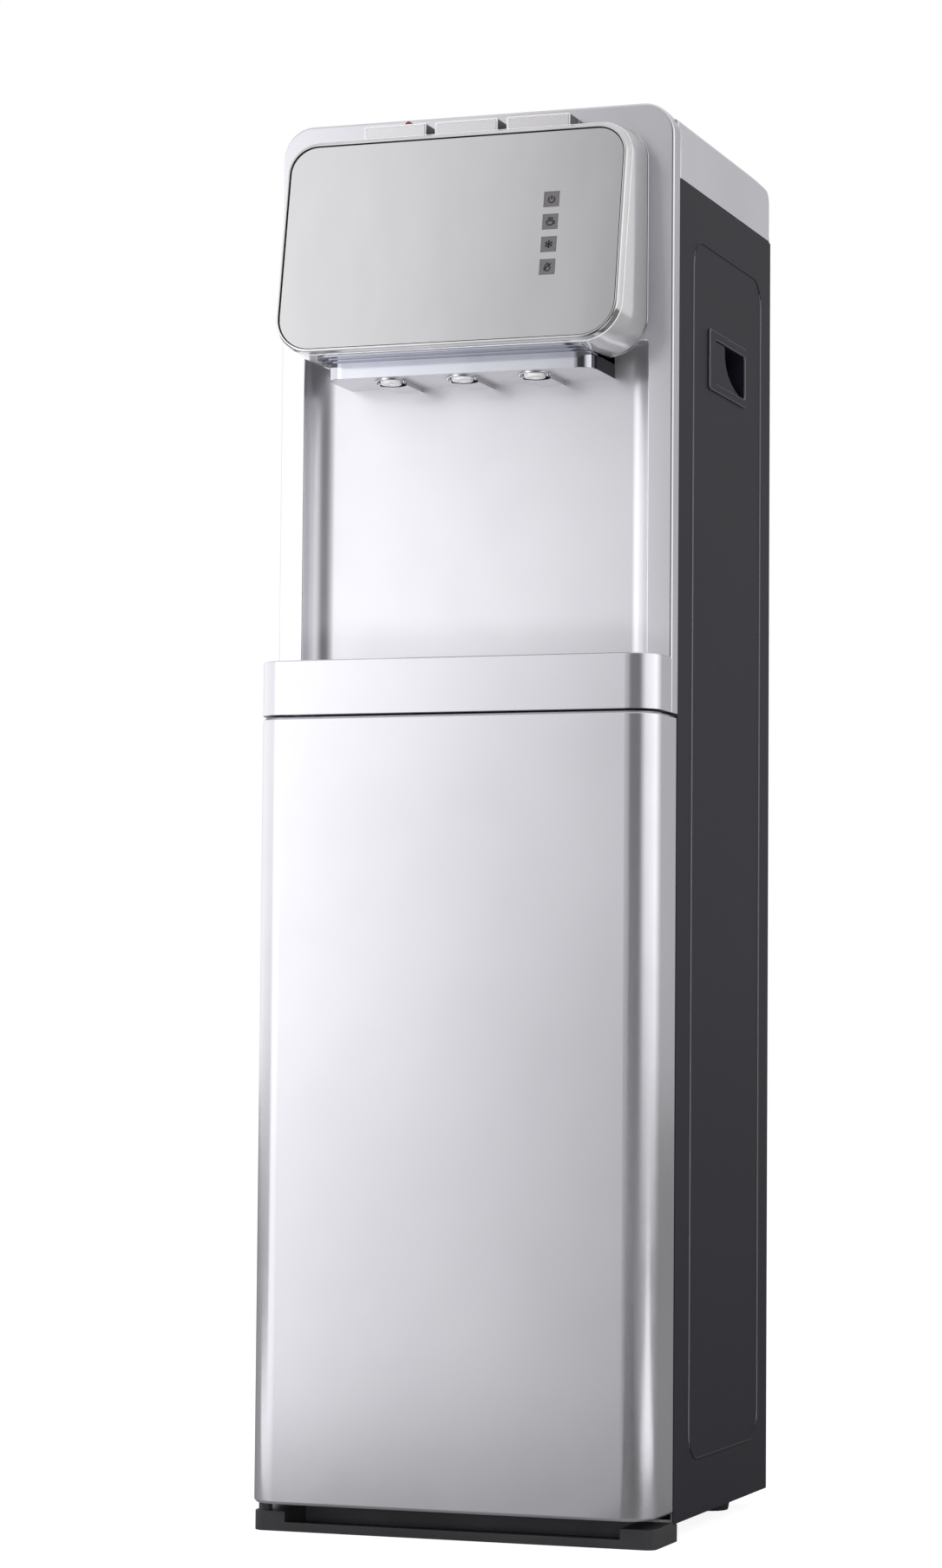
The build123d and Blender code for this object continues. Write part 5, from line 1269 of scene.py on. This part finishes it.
# ---------------------------------------------------------------- studio
def lamp(name, centre, towards, width, height, watts):
    """A soft lamp, square on to a point; it lights, but isn't mirrored in the silver."""
    data = bpy.data.lights.new(name, "AREA")
    data.shape = "RECTANGLE"
    data.size = width
    data.size_y = height
    data.energy = watts
    made_lamp = bpy.data.objects.new(name, data)
    look = Vector(towards) - Vector(centre)
    turn = look.to_track_quat("-Z", "Y").to_matrix().to_4x4()
    made_lamp.matrix_world = Matrix.Translation(Vector(centre)) @ turn
    made_lamp.visible_glossy = False
    bpy.context.scene.collection.objects.link(made_lamp)


# How bright the studio is around the machine: degrees from straight in front, and brightness
studio_round = (
    (-180, 0.55), (-150, 0.9), (-110, 1.25), (-60, 1.15), (-20, 0.80), (-4, 0.55), (8, 0.06),
    (44, 0.05), (66, 1.05), (118, 1.45), (140, 0.8), (165, 0.42), (180, 0.50),
)
brightest = 2.0
studio_ceiling = 0.80
white = (1.0, 1.0, 1.0, 1.0)
floor_grey = (0.24, 0.24, 0.24, 1.0)
floor_glow = 0.90


def make_world():
    """Bright and dark zones round the machine; the camera itself sees plain white."""
    world = bpy.data.worlds.new("studio")
    bpy.context.scene.world = world
    air = Finish("studio", world)
    x, y, z = air.axes(air.place("Generated"))
    turn = x.maths("ARCTAN2", x, y * -1.0) * (0.5 / math.pi) + 0.5
    stops = [((angle + 180) / 360, (level / brightest,) * 3) for angle, level in studio_round]
    ring = air.node("ShaderNodeValToRGB", {"stops": stops}, turn)
    level = air.node("ShaderNodeRGBToBW", {}, ring) * brightest
    high = z.ramp(0.25, 0.75)
    level = level * (1.0 - high) + high * studio_ceiling
    seen = air.node("ShaderNodeLightPath", {}, out="Is Camera Ray")
    strength = level * (1.0 - seen) + seen
    shader = air.node("ShaderNodeBackground", {}, white, strength)
    made_world = air.tree.nodes.new("ShaderNodeOutputWorld")
    air.feed(made_world.inputs["Surface"], shader)


def stage_sheet(name, corners, material):
    mesh = bpy.data.meshes.new(name)
    mesh.from_pydata(corners, [], [(0, 1, 2, 3)])
    mesh.materials.append(material)
    sheet = bpy.data.objects.new(name, mesh)
    bpy.context.scene.collection.objects.link(sheet)
    return sheet


def make_floor():
    """A pale floor that keeps the shadow."""
    finish = Finish("floor")
    seen = finish.node("ShaderNodeLightPath", {}, out="Is Camera Ray")
    cloth = finish.node("ShaderNodeBsdfDiffuse", {}, floor_grey)
    glow = finish.node("ShaderNodeEmission", {}, white, seen * floor_glow)
    finish.node_out(finish.node("ShaderNodeAddShader", {}, cloth, glow))
    reach = 14.0
    corners = [(-reach, -reach, 0.0), (reach, -reach, 0.0), (reach, reach, 0.0),
               (-reach, reach, 0.0)]
    stage_sheet("floor", corners, finish.owner)


def glowing(name, strength):
    """A card's material that only glows, evenly."""
    finish = Finish(name)
    finish.node_out(finish.node("ShaderNodeEmission", {}, white, strength))
    return finish.owner


def make_cards():
    """Cards that the silver mirrors: a soft one at the left, brightest at its left end, with a
    foot along the floor, an even one at the right and a dark one between them."""
    finish = Finish("softbox")
    x, _, z = finish.axes(finish.place())
    left_end, foot_start, crown_start, crown_end = -0.78, -0.25, 0.95, 1.50
    across = x.ramp(0.0, left_end)
    rise = z.ramp(foot_start, crown_start)
    crown = z.ramp(crown_start, crown_end)
    strength = (across * 1.35 + 0.44) * (rise * 0.38 + 0.62) * (1.0 - crown * 0.36)
    finish.node_out(finish.node("ShaderNodeEmission", {}, white, strength))
    card_y, card_top, floor_end = -1.25, 1.9, -0.24
    left, right, low = -1.5, 0.08, 0.004
    upright = [(left, card_y, low), (right, card_y, low), (right, card_y, card_top),
               (left, card_y, card_top)]
    foot_sheet = [(left, card_y, low), (right, card_y, low), (right, floor_end, low),
                  (left, floor_end, low)]
    side_sheet = [(0.62, -0.5, low), (3.0, -0.5, low), (3.0, 0.22, low), (0.62, 0.22, low)]
    dark_sheet = [(right, -3.0, low), (1.6, -3.0, low), (0.55, floor_end, low),
                  (right, floor_end, low)]
    for name, corners, material in (("softbox", upright, finish.owner),
                                    ("softbox_foot", foot_sheet, finish.owner),
                                    ("side_card", side_sheet, glowing("side_card", 1.25)),
                                    ("dark_card", dark_sheet, glowing("dark_card", 0.02))):
        card = stage_sheet(name, corners, material)
        card.visible_camera = False
        card.visible_shadow = False


make_world()
make_floor()
make_cards()
lamp("key_lamp", (-1.3, -1.7, 2.0), (0.0, 0.0, 0.7), width=1.2, height=1.4, watts=18.0)
lamp("side_lamp", (2.0, -0.5, 1.9), (0.1, 0.0, 0.9), width=0.7, height=1.2, watts=14.0)
lamp("low_lamp", (0.25, -1.4, 0.12), (0.0, -0.12, 0.86), width=0.9, height=0.3, watts=14.0)
bpy.context.scene.view_settings.view_transform = "Standard"
